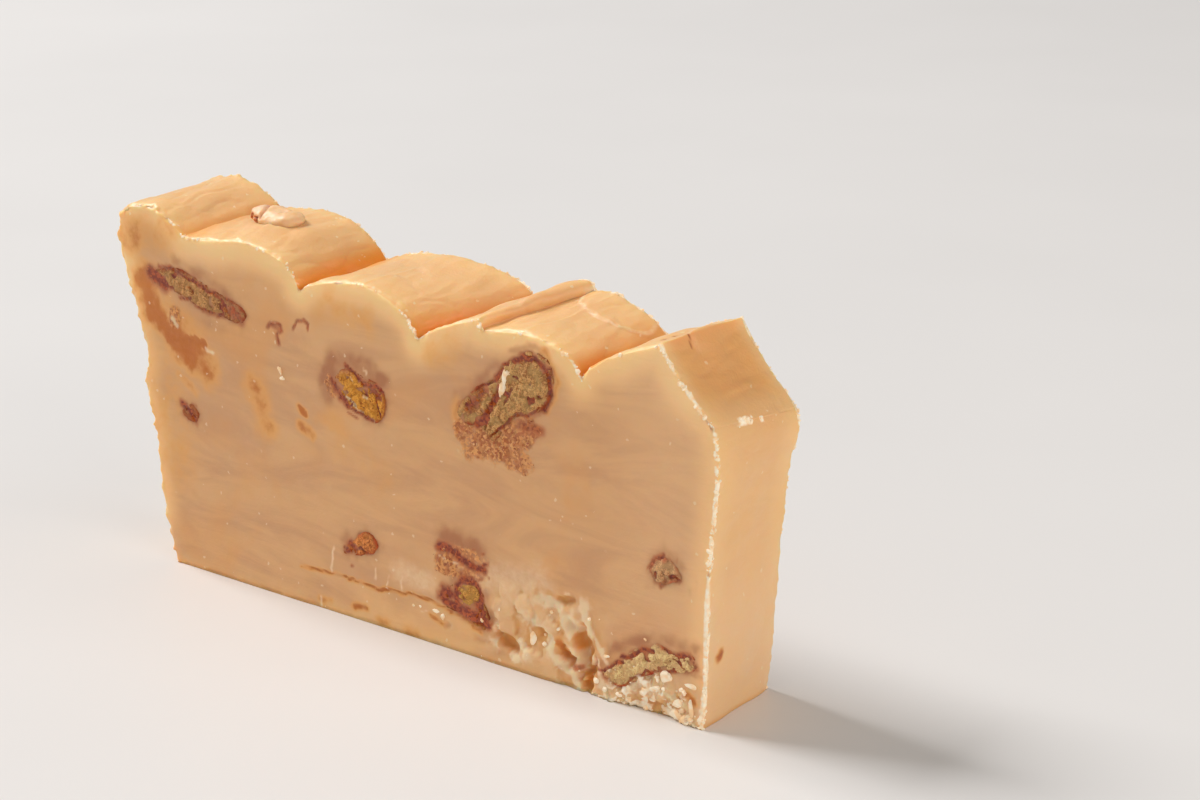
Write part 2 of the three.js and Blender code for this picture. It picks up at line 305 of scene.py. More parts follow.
def unevenness(places, size, seed):
    """Smooth noise from -1 to 1 whose lumps are about `size` across."""
    scaled = places / np.asarray(size, float)
    low = np.floor(scaled).astype(np.int64)
    t = scaled - low
    t = t * t * (3 - 2 * t)
    total = np.zeros(len(places))
    for dx in (0, 1):
        for dy in (0, 1):
            for dz in (0, 1):
                weight = ((t[:, 0] if dx else 1 - t[:, 0]) * (t[:, 1] if dy else 1 - t[:, 1])
                          * (t[:, 2] if dz else 1 - t[:, 2]))
                total += weight * lattice(low[:, 0] + dx, low[:, 1] + dy, low[:, 2] + dz, seed)
    return total


def layered(places, size, seed, layers=3):
    """Noise with finer and finer lumps added."""
    total = sum(unevenness(places, np.asarray(size) / 2 ** k, seed + k) / 2 ** k
                for k in range(layers))
    return total / (2 - 2 ** (1 - layers))


# Each face seen straight on: the cuts from the front, the top from above, the ends
# from the right. The spots wander a little, so that what is marked has uneven edges.
wander = 0.22 * np.column_stack([unevenness(places, 0.9, 5), unevenness(places, 0.9, 6)])
stain_wander = 0.45 * np.column_stack([layered(places, 3.0, 9), layered(places, 3.0, 13)])
cut_spots = places[:, [0, 2]] - (to_middle, 0) + wander
top_spots = places[:, [0, 1]] - (to_middle, 0) + wander
end_spots = places[:, [1, 2]] + wander
x, z = places[:, 0] - to_middle, places[:, 2]


def fade(value, start, end):
    """0 at start, 1 at end, smooth between."""
    t = np.clip((value - start) / (end - start), 0, 1)
    return t * t * (3 - 2 * t)


# The loaf's skin: slow swells that differ from cut to cut, and streaks that wander
# along the ridges. The knife cuts: almost flat, with faint level smears.
depth_share = depth[cells[:, 1]]
between_cuts = 4 * depth_share * (1 - depth_share)
swell = 0.75 * layered(places, (9, 8, 14), 3, 2) * between_cuts
drift = places + 1.6 * np.column_stack([unevenness(places, (12, 8, 12), 7), np.zeros_like(x),
                                        unevenness(places, (12, 8, 12), 8)])
streak = 0.20 * layered(drift, (1.3, 10, 1.3), 11) + 0.30 * layered(drift, (4.5, 12, 4.5), 17, 2)
dimple = 0.15 * layered(places, 3.0, 19)
smear = 0.13 * layered(places, (14, 9, 8), 21, 2) + 0.07 * layered(drift, (9, 3, 1.2), 23)
smear = smear + 0.05 * layered(places, 2.2, 27)
ragged = 0.75 * layered(places, 1.9, 31, 2) + 0.55 * layered(places, 0.7, 33)
ragged = ragged * np.exp(-(rim_distance / 0.8) ** 2)
raised = np.where(on_cut, smear, swell + dimple + streak * (on_top | on_left))
rough_left = fade(-x, 44, 52)
folds = np.exp(-(layered(drift, (4.5, 9, 6), 35, 2) / 0.06) ** 2)
folds = folds * (on_top | on_left) * between_cuts
raised = raised - 0.16 * folds
raised = raised * fade(rim_distance, 0.0, 0.9)
raised = raised + ragged * (0.24 + 0.24 * sugar_here + 0.75 * rough_left)


def patch(spots, middle, half, turn=0.0):
    """Distance from a patch's middle in patch sizes: 1 at its edge."""
    angle = math.radians(turn)
    offset = spots - np.array(middle)
    along = offset[:, 0] * math.cos(angle) + offset[:, 1] * math.sin(angle)
    across = offset[:, 1] * math.cos(angle) - offset[:, 0] * math.sin(angle)
    return np.hypot(along / half[0], across / half[1])


def marked(spots, lines):
    """How strongly each spot lies on any of some lines, given as width, strength, points."""
    total = np.zeros(len(spots))
    for width, strength, points in lines:
        points = np.array(points, float)
        reach = np.ptp(points, axis=0) / 2 + 2.5 * width
        near = (np.abs(spots - (points.min(0) + points.max(0)) / 2) < reach).all(axis=1)
        close = spots[near]
        distance = np.full(len(close), np.inf)
        for start, step in zip(points[:-1], np.diff(points, axis=0)):
            along = np.clip((close - start) @ step / (step @ step), 0, 1)[:, None]
            distance = np.minimum(distance, np.linalg.norm(close - start - along * step, axis=1))
        total[near] = np.maximum(total[near], strength * np.exp(-(distance / width) ** 2))
    return total


# A thin flake that lies on the fifth ridge, and the spot and scratches on the right end
from_flake = patch(top_spots, (29.0, 6.6), (6.4, 4.6), -6)
flake = 1 - fade(from_flake, 0.93, 1.0)
flake_edge = on_top * np.exp(-((from_flake - 0.96) / 0.06) ** 2)
raised = raised + 0.30 * flake * on_top
BEVEL_CRACK = [(0.16, 1.0, [(46.2, -5.4), (46.8, -3.7), (48.1, -3.0), (49.6, -3.5)])]
END_SPOT = [(0.75, 1.0, [(-5.9, 10.0), (-5.5, 10.3)])]
END_LINES = [
    (0.18, 0.8, [(5.2, 8.4), (3.4, 6.0), (1.5, 4.3)]),
    (0.13, 0.7, [(-3.5, 40.0), (-1.1, 38.7), (1.6, 38.6)]),
    (0.18, 0.6, [(-7.6, 10.0), (-6.6, 10.2)]),
    (0.20, 0.5, [(7.4, 3.4), (7.6, 1.2)]),
]
bevel_crack = marked(top_spots, BEVEL_CRACK) * on_top
end_spot = marked(end_spots, END_SPOT) * on_right
end_lines = marked(end_spots, END_LINES) * on_right
raised = raised - 0.12 * bevel_crack + 0.18 * end_spot - 0.10 * end_lines


def crumbs(places, size, seed):
    """Cellular lumps: distance to the nearest lump's middle in lump sizes, the gap to
    the next one, and a number from -1 to 1 that is the lump's own."""
    scaled = places / size
    low = np.floor(scaled).astype(np.int64)
    nearest = np.full(len(places), 9.0)
    second = np.full(len(places), 9.0)
    own = np.zeros(len(places))
    for step in np.ndindex(3, 3, 3):
        cell = low + np.array(step) - 1
        middle = cell + 0.5 + 0.45 * np.column_stack(
            [lattice(cell[:, 0], cell[:, 1], cell[:, 2], seed + k) for k in range(3)])
        distance = np.linalg.norm(scaled - middle, axis=1)
        closer = distance < nearest
        second = np.where(closer, nearest, np.minimum(second, distance))
        own = np.where(closer, lattice(cell[:, 0], cell[:, 1], cell[:, 2], seed + 7), own)
        nearest = np.where(closer, distance, nearest)
    return nearest, second - nearest, own


# What the cut tore out low on the front. Each hollow: middle, half size, turn, depth
CRACK = [(-20.5, 5.9), (-18.8, 6.2), (-14.6, 6.3), (-12.4, 6.4), (-8.6, 6.3), (-4.4, 5.9),
         (-1.8, 6.6), (2.8, 6.8), (6.0, 6.9), (10.5, 5.9), (13.5, 5.3), (17.5, 5.0)]
CRACK_WIDTH, CRACK_DEPTH, UNDER_CRACK_DEPTH = 0.24, 0.36, 0.14
crack_height = np.interp(x, *zip(*CRACK)) + 0.22 * unevenness(places, 1.8, 41)
along_crack = fade(x, -21, -18) * fade(-x, -18, -14)
crack = along_crack * np.exp(-((z - crack_height) / CRACK_WIDTH) ** 2)
under_crack = along_crack * fade(crack_height - z, 0.0, 0.5)
low_front = on_front | on_base
HOLLOWS = [
    ((20.8, 3.8), (3.0, 1.7), -12, 1.5),
    ((25.2, 9.4), (1.3, 0.8), 20, 0.35),
    ((27.2, 7.0), (1.2, 0.7), -30, 0.5),
    ((32.6, 9.6), (1.3, 0.9), 25, 0.7),
    ((31.6, 13.0), (3.3, 0.9), 12, 0.9),
    ((31.6, 4.6), (2.6, 1.5), -38, 1.7),
    ((35.2, 4.4), (2.2, 6.4), 9, 2.6),
    ((46.8, 0.6), (7.0, 2.8), 0, 1.0),
    ((15.5, 3.0), (1.4, 0.8), -10, 0.3),
    ((8.9, 3.6), (1.0, 0.7), 10, 0.35),
    ((-8.6, 1.9), (1.6, 0.5), 5, 0.2),
]
REAR_HOLLOWS = [
    ((-42.0, 9.0), (3.0, 1.5), 20, 0.8),
    ((-36.5, 6.4), (1.8, 1.0), -20, 0.5),
    ((24.0, 7.5), (2.4, 1.4), -12, 0.7),
    ((12.0, 30.0), (1.4, 0.9), 40, 0.4),
]
hollow = np.zeros(len(places))
hollow_rim = np.zeros(len(places))
wobble = 0.40 * layered(places, 2.4, 47, 2) + 0.22 * layered(places, 0.9, 48)
patchy = fade(layered(places, 1.7, 49, 2), -0.35, 0.3)
for face, hollows in ((low_front, HOLLOWS), (on_rear, REAR_HOLLOWS)):
    for middle, half, turn, deep in hollows:
        away = patch(cut_spots, middle, half, turn) + wobble
        hollow = np.maximum(hollow, face * deep * (1 - fade(away, 0.40, 1.0)))
        rim_width = 0.45 / min(half)
        lip = patchy * min(deep, 1) * np.exp(-((away - 1.1) / rim_width) ** 2)
        hollow_rim = np.maximum(hollow_rim, (face & on_cut) * lip)
from_torn = patch(cut_spots, (27.5, 7.0), (13, 8.4)) + 0.35 * layered(places, 3, 53)
torn = low_front * (1 - fade(from_torn, 0.6, 1.1))
from_crumbled = patch(cut_spots, (47.5, 1.8), (10.2, 5.4)) + 0.3 * layered(places, 2.0, 59)
crumbled = low_front * (1 - fade(from_crumbled, 0.65, 1.0))
broken = places + 0.3 * layered(places, 0.8, 63)[:, None]
lump, _, lump_own = crumbs(broken, 1.05, 61)
plate, _, plate_own = crumbs(broken + 0.5 * layered(places, 2.0, 65)[:, None], 2.5, 67)
plates = np.round((lump_own * 0.5 + 1.0 * layered(places, 3.2, 69)) * 2.2) / 2.2
tear = torn * (0.40 * plate_own + 0.40 * (0.5 - plate) + 0.10 * (0.5 - lump) - 0.10)
tear = tear + crumbled * (0.40 * plates + 0.60 * (0.5 - lump))
carved = hollow + CRACK_DEPTH * crack + UNDER_CRACK_DEPTH * under_crack - tear

# Marks in the front cut where nut skin and crumbs were dragged along, as width,
# strength and a line of points in the cut: red-brown nut skin, orange syrup (near the
# left end painted glow), cream streaks, and the dusky halo of nut that lies just under the surface
RED_MARKS = [
    (1.30, 1.0, [(-52.2, 47.6), (-50.6, 46.8), (-49.2, 46.2)]),
    (0.42, 0.75, [(-50.2, 48.9), (-47.4, 49.0), (-45.2, 48.3), (-42.4, 47.8)]),
    (0.85, 0.62, [(-36.4, 44.8), (-34.6, 43.8), (-32.8, 43.6)]),
    (0.32, 0.9, [(-49.6, 46.2), (-48.4, 46.2), (-47.2, 45.8)]),
    (0.34, 0.6, [(-47.8, 49.2), (-46.4, 48.9), (-45.2, 48.4)]),
    (0.36, 0.9, [(-42.4, 47.8), (-40.8, 47.3), (-39.4, 46.8), (-38.0, 46.6), (-36.6, 45.9),
                 (-35.2, 44.9)]),
    (0.38, 0.8, [(-45.6, 44.6), (-44.3, 44.6), (-43.3, 44.9)]),
    (0.32, 0.7, [(-43.2, 46.6), (-42.6, 45.8)]),
    (0.34, 0.7, [(-42.2, 44.0), (-40.8, 43.4), (-39.2, 43.5), (-38.0, 43.2), (-36.2, 43.4)]),
    (1.00, 0.60, [(-34.4, 44.6), (-32.2, 43.2)]),
    (1.00, 0.55, [(23.5, 37.6), (27.4, 37.4)]),
    (0.38, 0.70, [(-26.5, 43.2), (-25.4, 44.0), (-23.9, 43.9), (-23.4, 43.1), (-24.4, 42.4),
                  (-24.0, 40.8)]),
    (0.50, 0.5, [(-25.4, 43.6), (-24.2, 43.2)]),
    (0.36, 0.66, [(-21.0, 43.8), (-20.0, 45.1), (-18.7, 45.6), (-17.8, 45.0), (-17.9, 44.2)]),
    (0.75, 0.9, [(-46.2, 27.2), (-44.6, 26.4), (-43.6, 25.4)]),
    (0.85, 0.75, [(-12.6, 36.8), (-10.6, 34.4)]),
    (0.60, 0.75, [(-7.0, 38.4), (-4.8, 37.4), (-3.4, 36.2)]),
    (0.40, 1.0, [(-10.2, 40.1), (-9.2, 39.6), (-8.2, 39.2), (-7.6, 38.6)]),
    (0.30, 0.9, [(-6.8, 38.1), (-5.4, 37.8), (-4.2, 38.0), (-3.0, 37.8), (-2.6, 37.0)]),
    (0.38, 0.9, [(-13.2, 37.6), (-12.8, 36.8)]),
    (0.46, 1.0, [(-11.6, 35.0), (-10.6, 34.8), (-10.0, 34.2)]),
    (0.30, 0.9, [(-10.6, 34.1), (-9.4, 33.6), (-8.2, 33.2), (-7.0, 33.1), (-6.0, 32.7),
                 (-4.8, 32.6)]),
    (0.28, 0.8, [(-4.0, 36.2), (-3.6, 35.0), (-3.2, 33.4)]),
    (0.24, 0.7, [(-8.0, 37.2), (-6.8, 36.6), (-5.6, 36.1)]),
    (0.26, 0.6, [(-10.0, 32.9), (-9.0, 32.4), (-8.0, 32.2)]),
    (0.55, 0.95, [(22.6, 46.6), (24.4, 47.6), (26.4, 47.8), (28.2, 46.9), (29.2, 45.2),
                  (29.2, 43.0), (28.0, 40.6)]),
    (1.50, 0.62, [(14.2, 38.2), (16.8, 41.0)]),
    (0.55, 1.0, [(20.7, 45.2), (20.0, 44.4), (19.4, 43.6)]),
    (0.30, 1.0, [(20.9, 46.0), (21.6, 46.2)]),
    (0.24, 0.9, [(19.4, 43.2), (18.4, 42.8), (17.0, 42.2), (15.6, 41.2)]),
    (0.62, 1.0, [(20.2, 42.4), (19.0, 40.3), (18.2, 39.2), (17.4, 37.8), (16.4, 36.6),
                 (15.6, 35.9)]),
    (0.26, 0.7, [(14.4, 39.4), (13.4, 38.6)]),
    (0.26, 0.8, [(22.3, 42.6), (21.6, 41.6), (20.9, 40.3)]),
    (0.15, 0.7, [(22.8, 47.1), (24.4, 46.6)]),
    (0.15, 0.7, [(22.4, 44.5), (24.4, 43.9)]),
    (0.30, 0.9, [(18.0, 34.6), (19.0, 35.3), (19.8, 36.1), (20.8, 36.9), (21.7, 37.7),
                 (22.3, 38.5)]),
    (0.32, 0.8, [(22.3, 38.5), (23.2, 39.2), (24.8, 39.0), (26.2, 39.8), (27.2, 40.8)]),
    (0.22, 0.7, [(19.8, 38.2), (20.5, 37.4)]),
    (0.90, 1.0, [(7.8, 15.7), (9.0, 16.0), (10.4, 15.6), (11.4, 15.2)]),
    (0.80, 1.0, [(12.0, 14.9), (13.4, 14.4), (15.0, 14.0), (16.4, 14.2)]),
    (1.10, 0.90, [(8.8, 9.2), (10.0, 8.6)]),
    (0.26, 0.7, [(16.4, 15.1), (17.6, 15.4)]),
    (0.16, 0.6, [(14.6, 16.8), (16.4, 16.6), (17.2, 16.2)]),
    (0.26, 0.8, [(8.8, 13.6), (9.3, 13.0)]),
    (0.22, 0.6, [(15.4, 12.6), (16.6, 12.8), (17.5, 12.9)]),
    (0.26, 0.6, [(11.8, 12.7), (12.6, 12.5)]),
    (0.60, 1.0, [(9.6, 7.3), (11.4, 7.2), (11.0, 8.6)]),
    (0.55, 0.9, [(11.0, 8.4), (11.3, 10.4), (12.4, 11.7), (14.2, 12.0), (15.6, 11.0),
                 (16.0, 9.2)]),
    (1.15, 1.0, [(11.6, 6.9), (13.7, 6.5), (15.6, 6.2)]),
    (0.85, 1.0, [(14.4, 6.2), (15.7, 5.9), (17.1, 5.6)]),
    (0.34, 0.9, [(15.9, 7.0), (16.8, 6.3)]),
    (0.36, 0.9, [(16.4, 5.7), (17.2, 5.3)]),
    (0.28, 0.7, [(14.8, 9.0), (15.1, 8.4)]),
    (0.80, 1.0, [(15.4, 8.6), (16.2, 7.4)]),
    (0.90, 1.0, [(8.2, 8.2), (9.2, 7.4)]),
    (0.55, 0.9, [(-10.2, 12.3), (-9.7, 11.8), (-9.2, 11.3)]),
    (0.34, 0.9, [(-11.7, 10.9), (-10.8, 10.9), (-10.0, 11.0)]),
    (0.30, 0.8, [(-8.8, 11.4), (-8.0, 11.7), (-6.8, 11.4)]),
    (0.26, 0.7, [(-10.2, 8.7), (-9.8, 8.8)]),
    (0.34, 0.9, [(50.2, 21.2), (51.2, 21.4), (51.8, 20.7)]),
    (0.46, 0.7, [(46.8, 21.8), (47.6, 23.1), (49.2, 23.9)]),
    (0.50, 0.6, [(48.6, 19.4), (49.8, 20.4)]),
    (0.30, 0.9, [(37.2, 4.4), (38.6, 4.3), (39.8, 5.1), (41.0, 6.1), (42.2, 6.6)]),
    (0.38, 1.0, [(42.0, 7.2), (43.2, 7.6), (44.4, 8.4), (45.4, 9.0), (46.4, 9.3), (47.4, 9.4)]),
    (0.26, 0.8, [(49.4, 10.2), (50.6, 10.1), (51.8, 10.1), (53.2, 10.6), (54.4, 9.8),
                 (54.8, 8.8)]),
    (0.26, 0.8, [(43.4, 4.4), (44.4, 4.9), (45.4, 5.4), (46.0, 6.2), (47.2, 6.2)]),
    (0.28, 0.8, [(48.4, 7.2), (49.4, 7.0), (50.4, 7.2), (51.6, 7.6)]),
    (0.22, 0.7, [(51.0, 9.2), (52.2, 8.8), (53.4, 8.2)]),
    (0.26, 0.7, [(40.4, 2.6), (41.6, 2.7), (42.8, 3.3), (43.6, 4.2)]),
    (0.42, 0.6, [(33.0, 3.2), (33.8, 3.0)]),
]
# Orange syrup; the broad marks near the left end and the top-left corner are painted glow, where
# light comes through the edge
SYRUP_AND_GLOW_MARKS = [
    (2.70, 1.10, [(-53.8, 46.6), (-53.2, 44.6), (-52.2, 42.4), (-50.4, 40.6)]),
    (0.75, 1.50, [(-50.6, 40.9), (-48.8, 38.8), (-46.8, 37.8), (-44.6, 37.6), (-42.8, 38.2),
                  (-40.6, 38.2)]),
    (3.00, 0.85, [(-49.2, 39.8), (-45.6, 36.6), (-40.8, 34.4)]),
    (3.00, 0.40, [(-48.6, 43.0), (-43.0, 39.6)]),
    (6.00, 0.28, [(-50.0, 36.0), (-48.6, 18.0)]),
    (1.20, 0.45, [(-47.0, 32.0), (-43.0, 30.0)]),
    (0.70, 0.42, [(28.2, 49.2), (29.8, 47.4), (30.4, 45.0), (29.8, 42.4), (28.4, 40.6)]),
    (0.90, 0.36, [(12.0, 39.0), (11.4, 37.0), (11.6, 34.6)]),
    (0.60, 0.85, [(-20.2, 31.6), (-19.0, 30.9)]),
    (1.10, 0.70, [(-19.6, 28.6), (-17.8, 28.0)]),
    (2.40, 0.60, [(-30.0, 33.0), (-27.0, 27.0)]),
    (5.00, 0.20, [(-14.0, 30.0), (-4.0, 24.0)]),
    (0.55, 0.90, [(8.6, 8.0), (9.6, 7.4), (10.8, 6.9), (12.4, 5.9), (14.0, 4.9), (15.6, 4.3)]),
    (0.34, 0.75, CRACK),
    (0.70, 0.60, [(-9.8, 1.8), (-7.2, 2.2)]),
    (0.90, 0.45, [(-4.6, 0.7), (-2.8, 1.0)]),
    (1.10, 0.50, [(0.8, 0.6), (2.6, 0.5)]),
    (0.70, 0.50, [(-17.0, 1.2), (-15.0, 1.7)]),
    (0.60, 0.60, [(5.6, 4.4), (8.0, 3.6)]),
    (0.60, 0.70, [(-52.6, 47.9), (-51.8, 47.6)]),
    (1.20, 0.60, [(30.4, 6.4), (31.6, 4.2), (33.4, 3.4)]),
    (0.70, 0.80, [(33.2, 9.8), (34.4, 8.2)]),
    (0.60, 0.60, [(52.0, 3.6), (53.4, 4.6), (54.6, 3.4)]),
    (3.60, 0.45, [(-57.0, 52.6), (-52.0, 54.4), (-48.6, 54.0)]),
    (3.00, 0.30, [(-13.0, 49.0), (-6.0, 48.0)]),
    (2.60, 0.30, [(7.0, 45.0), (11.0, 47.0)]),
]
CREAM_MARKS = [
    (0.34, 0.7, [(-13.8, 10.8), (-14.1, 8.6), (-14.6, 6.6)]),
    (0.30, 0.6, [(-5.0, 9.4), (-5.2, 7.4)]),
    (0.26, 0.6, [(-2.4, 8.6), (-2.8, 7.0)]),
    (0.34, 0.6, [(0.3, 9.2), (0.1, 7.2)]),
    (0.34, 0.7, [(-17.1, 1.8), (-17.0, 0.4)]),
    (0.40, 0.8, [(-40.2, 37.3), (-38.6, 36.9)]),
    (0.46, 0.9, [(-47.6, 41.0), (-46.7, 39.9)]),
    (0.30, 0.6, [(8.0, 14.2), (9.0, 14.3)]),
    (0.30, 0.6, [(10.6, 13.9), (11.6, 14.1), (12.6, 13.7)]),
    (0.24, 0.6, [(-6.6, 40.3), (-5.8, 40.0), (-6.0, 39.4)]),
    (0.36, 0.7, [(-10.0, 35.4), (-8.6, 34.4), (-7.6, 33.6), (-6.8, 33.4)]),
    (0.30, 0.6, [(-9.0, 38.4), (-8.6, 38.0)]),
    (0.30, 0.6, [(-6.6, 36.2), (-5.8, 35.8)]),
    (0.80, 0.35, [(27.0, 9.8), (29.4, 11.2), (32.8, 12.0), (36.4, 13.0)]),
    (4.00, 0.46, [(17.5, 13.0), (27.0, 15.0)]),
    (2.80, 0.50, [(0.0, 10.0), (5.6, 9.6)]),
    (0.46, 0.8, [(35.2, 11.0), (36.4, 9.4), (37.8, 7.4), (39.0, 6.2), (39.8, 4.8)]),
    (1.10, 0.30, [(24.0, 8.0), (27.0, 8.8)]),
    (0.40, 0.6, [(22.6, 8.4), (25.0, 7.2), (25.6, 4.6)]),
    (0.30, 0.5, [(4.0, 4.6), (5.4, 5.0)]),
]
HALO_MARKS = [
    (1.50, 0.80, [(-46.5, 50.2), (-42.0, 49.4), (-38.0, 48.0), (-34.6, 46.2), (-32.4, 44.2)]),
    (1.80, 0.40, [(-47.0, 43.0), (-42.0, 41.0), (-37.0, 41.6)]),
    (2.10, 1.15, [(-14.2, 35.4), (-13.8, 38.4), (-12.2, 40.4), (-9.0, 40.8), (-5.8, 40.0),
                  (-3.4, 38.8)]),
    (1.30, 0.60, [(19.4, 45.4), (17.0, 43.2), (14.0, 41.0), (11.8, 39.6)]),
    (0.80, 0.60, [(22.4, 48.0), (25.4, 49.6), (28.6, 49.2)]),
    (2.40, 0.95, [(9.4, 17.2), (12.6, 17.6), (15.6, 16.4)]),
    (1.10, 0.70, [(16.8, 10.6), (17.2, 8.4), (18.0, 6.8)]),
    (1.00, 0.60, [(9.6, 10.0), (10.8, 11.8), (13.4, 12.6)]),
    (1.30, 0.75, [(40.0, 7.8), (43.0, 9.2), (46.0, 11.0), (50.0, 11.6), (54.4, 11.8)]),
    (1.10, 0.80, [(36.2, 5.4), (38.2, 5.0)]),
    (1.60, 0.60, [(-46.6, 27.0), (-43.6, 25.6)]),
    (1.10, 0.60, [(-10.8, 13.4), (-11.8, 11.8), (-11.0, 10.0)]),
    (1.20, 0.55, [(47.0, 23.2), (49.4, 24.8), (52.2, 23.0)]),
]
# Where nut crumbs are pressed into the cut: middle, half size, turn, strength
CRUMB_PATCHES = [
    ((18.8, 34.2), (7.4, 3.6), 20, 1.0),
    ((22.4, 32.4), (4.6, 2.4), -20, 0.8),
    ((25.0, 36.8), (2.6, 2.4), 40, 0.9),
    ((13.0, 34.6), (2.4, 2.0), 0, 0.9),
    ((12.6, 15.4), (5.2, 2.0), 4, 0.7),
    ((9.4, 13.2), (2.8, 2.2), -10, 1.0),
    ((14.4, 13.0), (3.8, 1.4), 4, 0.8),
    ((-47.2, 41.4), (1.5, 2.4), -20, 0.9),
    ((-13.4, 36.2), (1.2, 2.2), 20, 0.7),
    ((52.8, 9.0), (1.8, 1.2), -20, 0.6),
]


def crumb_share(spots, uneven):
    """How full of pressed-in nut crumbs each spot of the front cut is."""
    share = np.zeros(len(spots))
    for middle, half, turn, strength in CRUMB_PATCHES:
        inside = 1 - fade(patch(spots, middle, half, turn) + uneven, 0.55, 1.15)
        share = np.maximum(share, strength * inside)
    return share


# The rear cut shows nuts like the front ones: the same marks round them, moved to
# another middle, turned and resized
REAR_COPIES = {
    "pecan_rear_half": ("pecan_half", (-31, 31), 165, 0.85),
    "pecan_rear_long": ("pecan_long", (5, 42), 14, 0.8),
    "pecan_rear_round": ("pecan_crumbled", (35, 29), 80, 1.0),
    "pecan_rear_low": ("pecan_round", (2, 13), -35, 0.9),
    "pecan_rear_chip": ("pecan_sliver", (-17, 18), 50, 0.85),
}


def as_on_front(name, spots):
    """Spots round a rear nut, moved to where they lie round the front nut it is like."""
    if name not in REAR_COPIES:
        return spots
    like, middle, turn, size = REAR_COPIES[name]
    low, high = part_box(like)
    like_middle = np.array([low[0] + high[0], low[2] + high[2]]) / 2 / MM - (to_middle, 0)
    cosine, sine = math.cos(math.radians(turn)), math.sin(math.radians(turn))
    offset = (spots - np.array(middle)) / size
    return like_middle + np.column_stack([offset[:, 0] * cosine + offset[:, 1] * sine,
                                          offset[:, 1] * cosine - offset[:, 0] * sine])


# Pockets: the fudge draws back under each pecan piece in the cuts, and is stained
# round it
MARKS = {"red": RED_MARKS, "syrup_and_glow": SYRUP_AND_GLOW_MARKS, "cream": CREAM_MARKS, "halo": HALO_MARKS}
NEAR_NUT = 5.0
PROBE_DEPTH = 0.35
POCKET_DEPTH = 1.9
crumb_edge = 0.35 * layered(places, 1.6, 71)
marks = {kind: marked(cut_spots, MARKS[kind]) * on_front for kind in ("red", "cream")}
# What soaked in has softer edges and is fainter here and there
soaked = 0.7 + 0.6 * fade(layered(places, 2.2, 77), -0.5, 0.5)
for kind in ("syrup_and_glow", "halo"):
    marks[kind] = marked(cut_spots + stain_wander, MARKS[kind]) * soaked * on_front
marks["cream"] = np.maximum(marks["cream"], 0.42 * patchy * torn * on_front)
crumb = crumb_share(cut_spots, crumb_edge) * on_front
pocket = np.zeros(len(places))
cut_nuts = sorted(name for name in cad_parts
                  if name.startswith("pecan") and name != "pecan_on_top")
for name in cut_nuts:
    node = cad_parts[name]
    tree = BVHTree.FromPolygons([v.co / MM for v in node.data.vertices],
                                [p.vertices for p in node.data.polygons])
    low, high = (np.array(corner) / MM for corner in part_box(name))
    is_rear = name in REAR_COPIES
    inside_cut = (THICKNESS / 2 - PROBE_DEPTH) * (1 if is_rear else -1)
    outward = Vector((0, inside_cut, 0))
    near_along = (places[:, 0] > low[0] - NEAR_NUT) & (places[:, 0] < high[0] + NEAR_NUT)
    near_up = (places[:, 2] > low[2] - NEAR_NUT) & (places[:, 2] < high[2] + NEAR_NUT)
    close = np.flatnonzero((on_rear if is_rear else on_front) & near_along & near_up)
    away = np.zeros(len(close))
    for count, i in enumerate(close):
        probe = Vector((places[i, 0], inside_cut, places[i, 2]))
        away[count] = tree.find_nearest(probe)[3]
        if tree.ray_cast(probe, outward)[0] is not None:
            away[count] *= -1
    pocket[close] = np.maximum(pocket[close], POCKET_DEPTH * (away < -0.3))
    beyond = np.maximum(away, 0) * (1 + 0.8 * layered(places[close], 1.1, 75))
    frayed = fade(layered(places[close], 1.5, 79, 2), -0.5, 0.3)
    marks["halo"][close] = np.maximum(marks["halo"][close], 0.75 * np.exp(-beyond / 1.1))
    marks["red"][close] = np.maximum(marks["red"][close], 0.85 * frayed * np.exp(-beyond / 0.36))
    if is_rear:
        beside = 1 - fade(away, 2.0, NEAR_NUT)
        moved = as_on_front(name, cut_spots[close])
        for kind, lines in MARKS.items():
            marks[kind][close] = np.maximum(marks[kind][close], beside * marked(moved, lines))
        crumb[close] = np.maximum(crumb[close], beside * crumb_share(moved, crumb_edge[close]))

# How low each place of the top lies in the notch between two ridges, under lines that
# come down from the crests
CREST_FALL = 0.24
lowness = np.zeros(len(places))
for layer in range(last_layer + 1):
    line = np.flatnonzero(on_top & (cells[:, 1] == layer))
    along, height = places[line, 0], places[line, 2]
    slopes_down = height[None, :] - CREST_FALL * np.abs(along[:, None] - along[None, :])
    lowness[line] = slopes_down.max(axis=1) - height

grit, _, grit_own = crumbs(places, 0.62, 73)
carved = carved + 0.12 * marks["red"] + 0.07 * marks["syrup_and_glow"] - 0.06 * marks["cream"]
carved = carved - crumb * (0.16 * grit_own + 0.14 * (0.5 - grit))
raised[on_base] = 0
carved[~(on_cut | on_base)] = 0
depth_in = places[:, 1] + THICKNESS / 2
outward_cut = np.where(on_rear, 1.0, -1.0)
places = places + normals * raised[:, None]
# The base draws back with the cut above it, and stays flat
drawn_back = carved * np.where(on_base, np.clip(1 - depth_in / 6, 0, 1), 1) + pocket
places[:, 1] -= outward_cut * drawn_back
places[:, 2] = np.where(on_base, 0, np.maximum(places[:, 2], 0))
softer = on_cut & (hollow + torn > 0.05) & ~on_base
places = np.where(softer[:, None], places * 0.8 + neighbour_mean(places, edges) * 0.2, places)
STANDS_PROUD = 0.4
places[:, 1] = np.clip(places[:, 1], -THICKNESS / 2 - STANDS_PROUD, THICKNESS / 2 + STANDS_PROUD)


def fill(mesh, places, faces):
    """Gives a mesh smooth faces between places in millimetres, instead of any it has."""
    mesh.clear_geometry()
    mesh.from_pydata((places * MM).tolist(), [], faces)
    mesh.polygons.foreach_set("use_smooth", [True] * len(faces))


def paint(mesh, name, values):
    """Stores one number for each place of a mesh, for its finish to read."""
    layer = mesh.attributes.new(name, "FLOAT", "POINT")
    layer.data.foreach_set("value", np.asarray(values, np.float32))


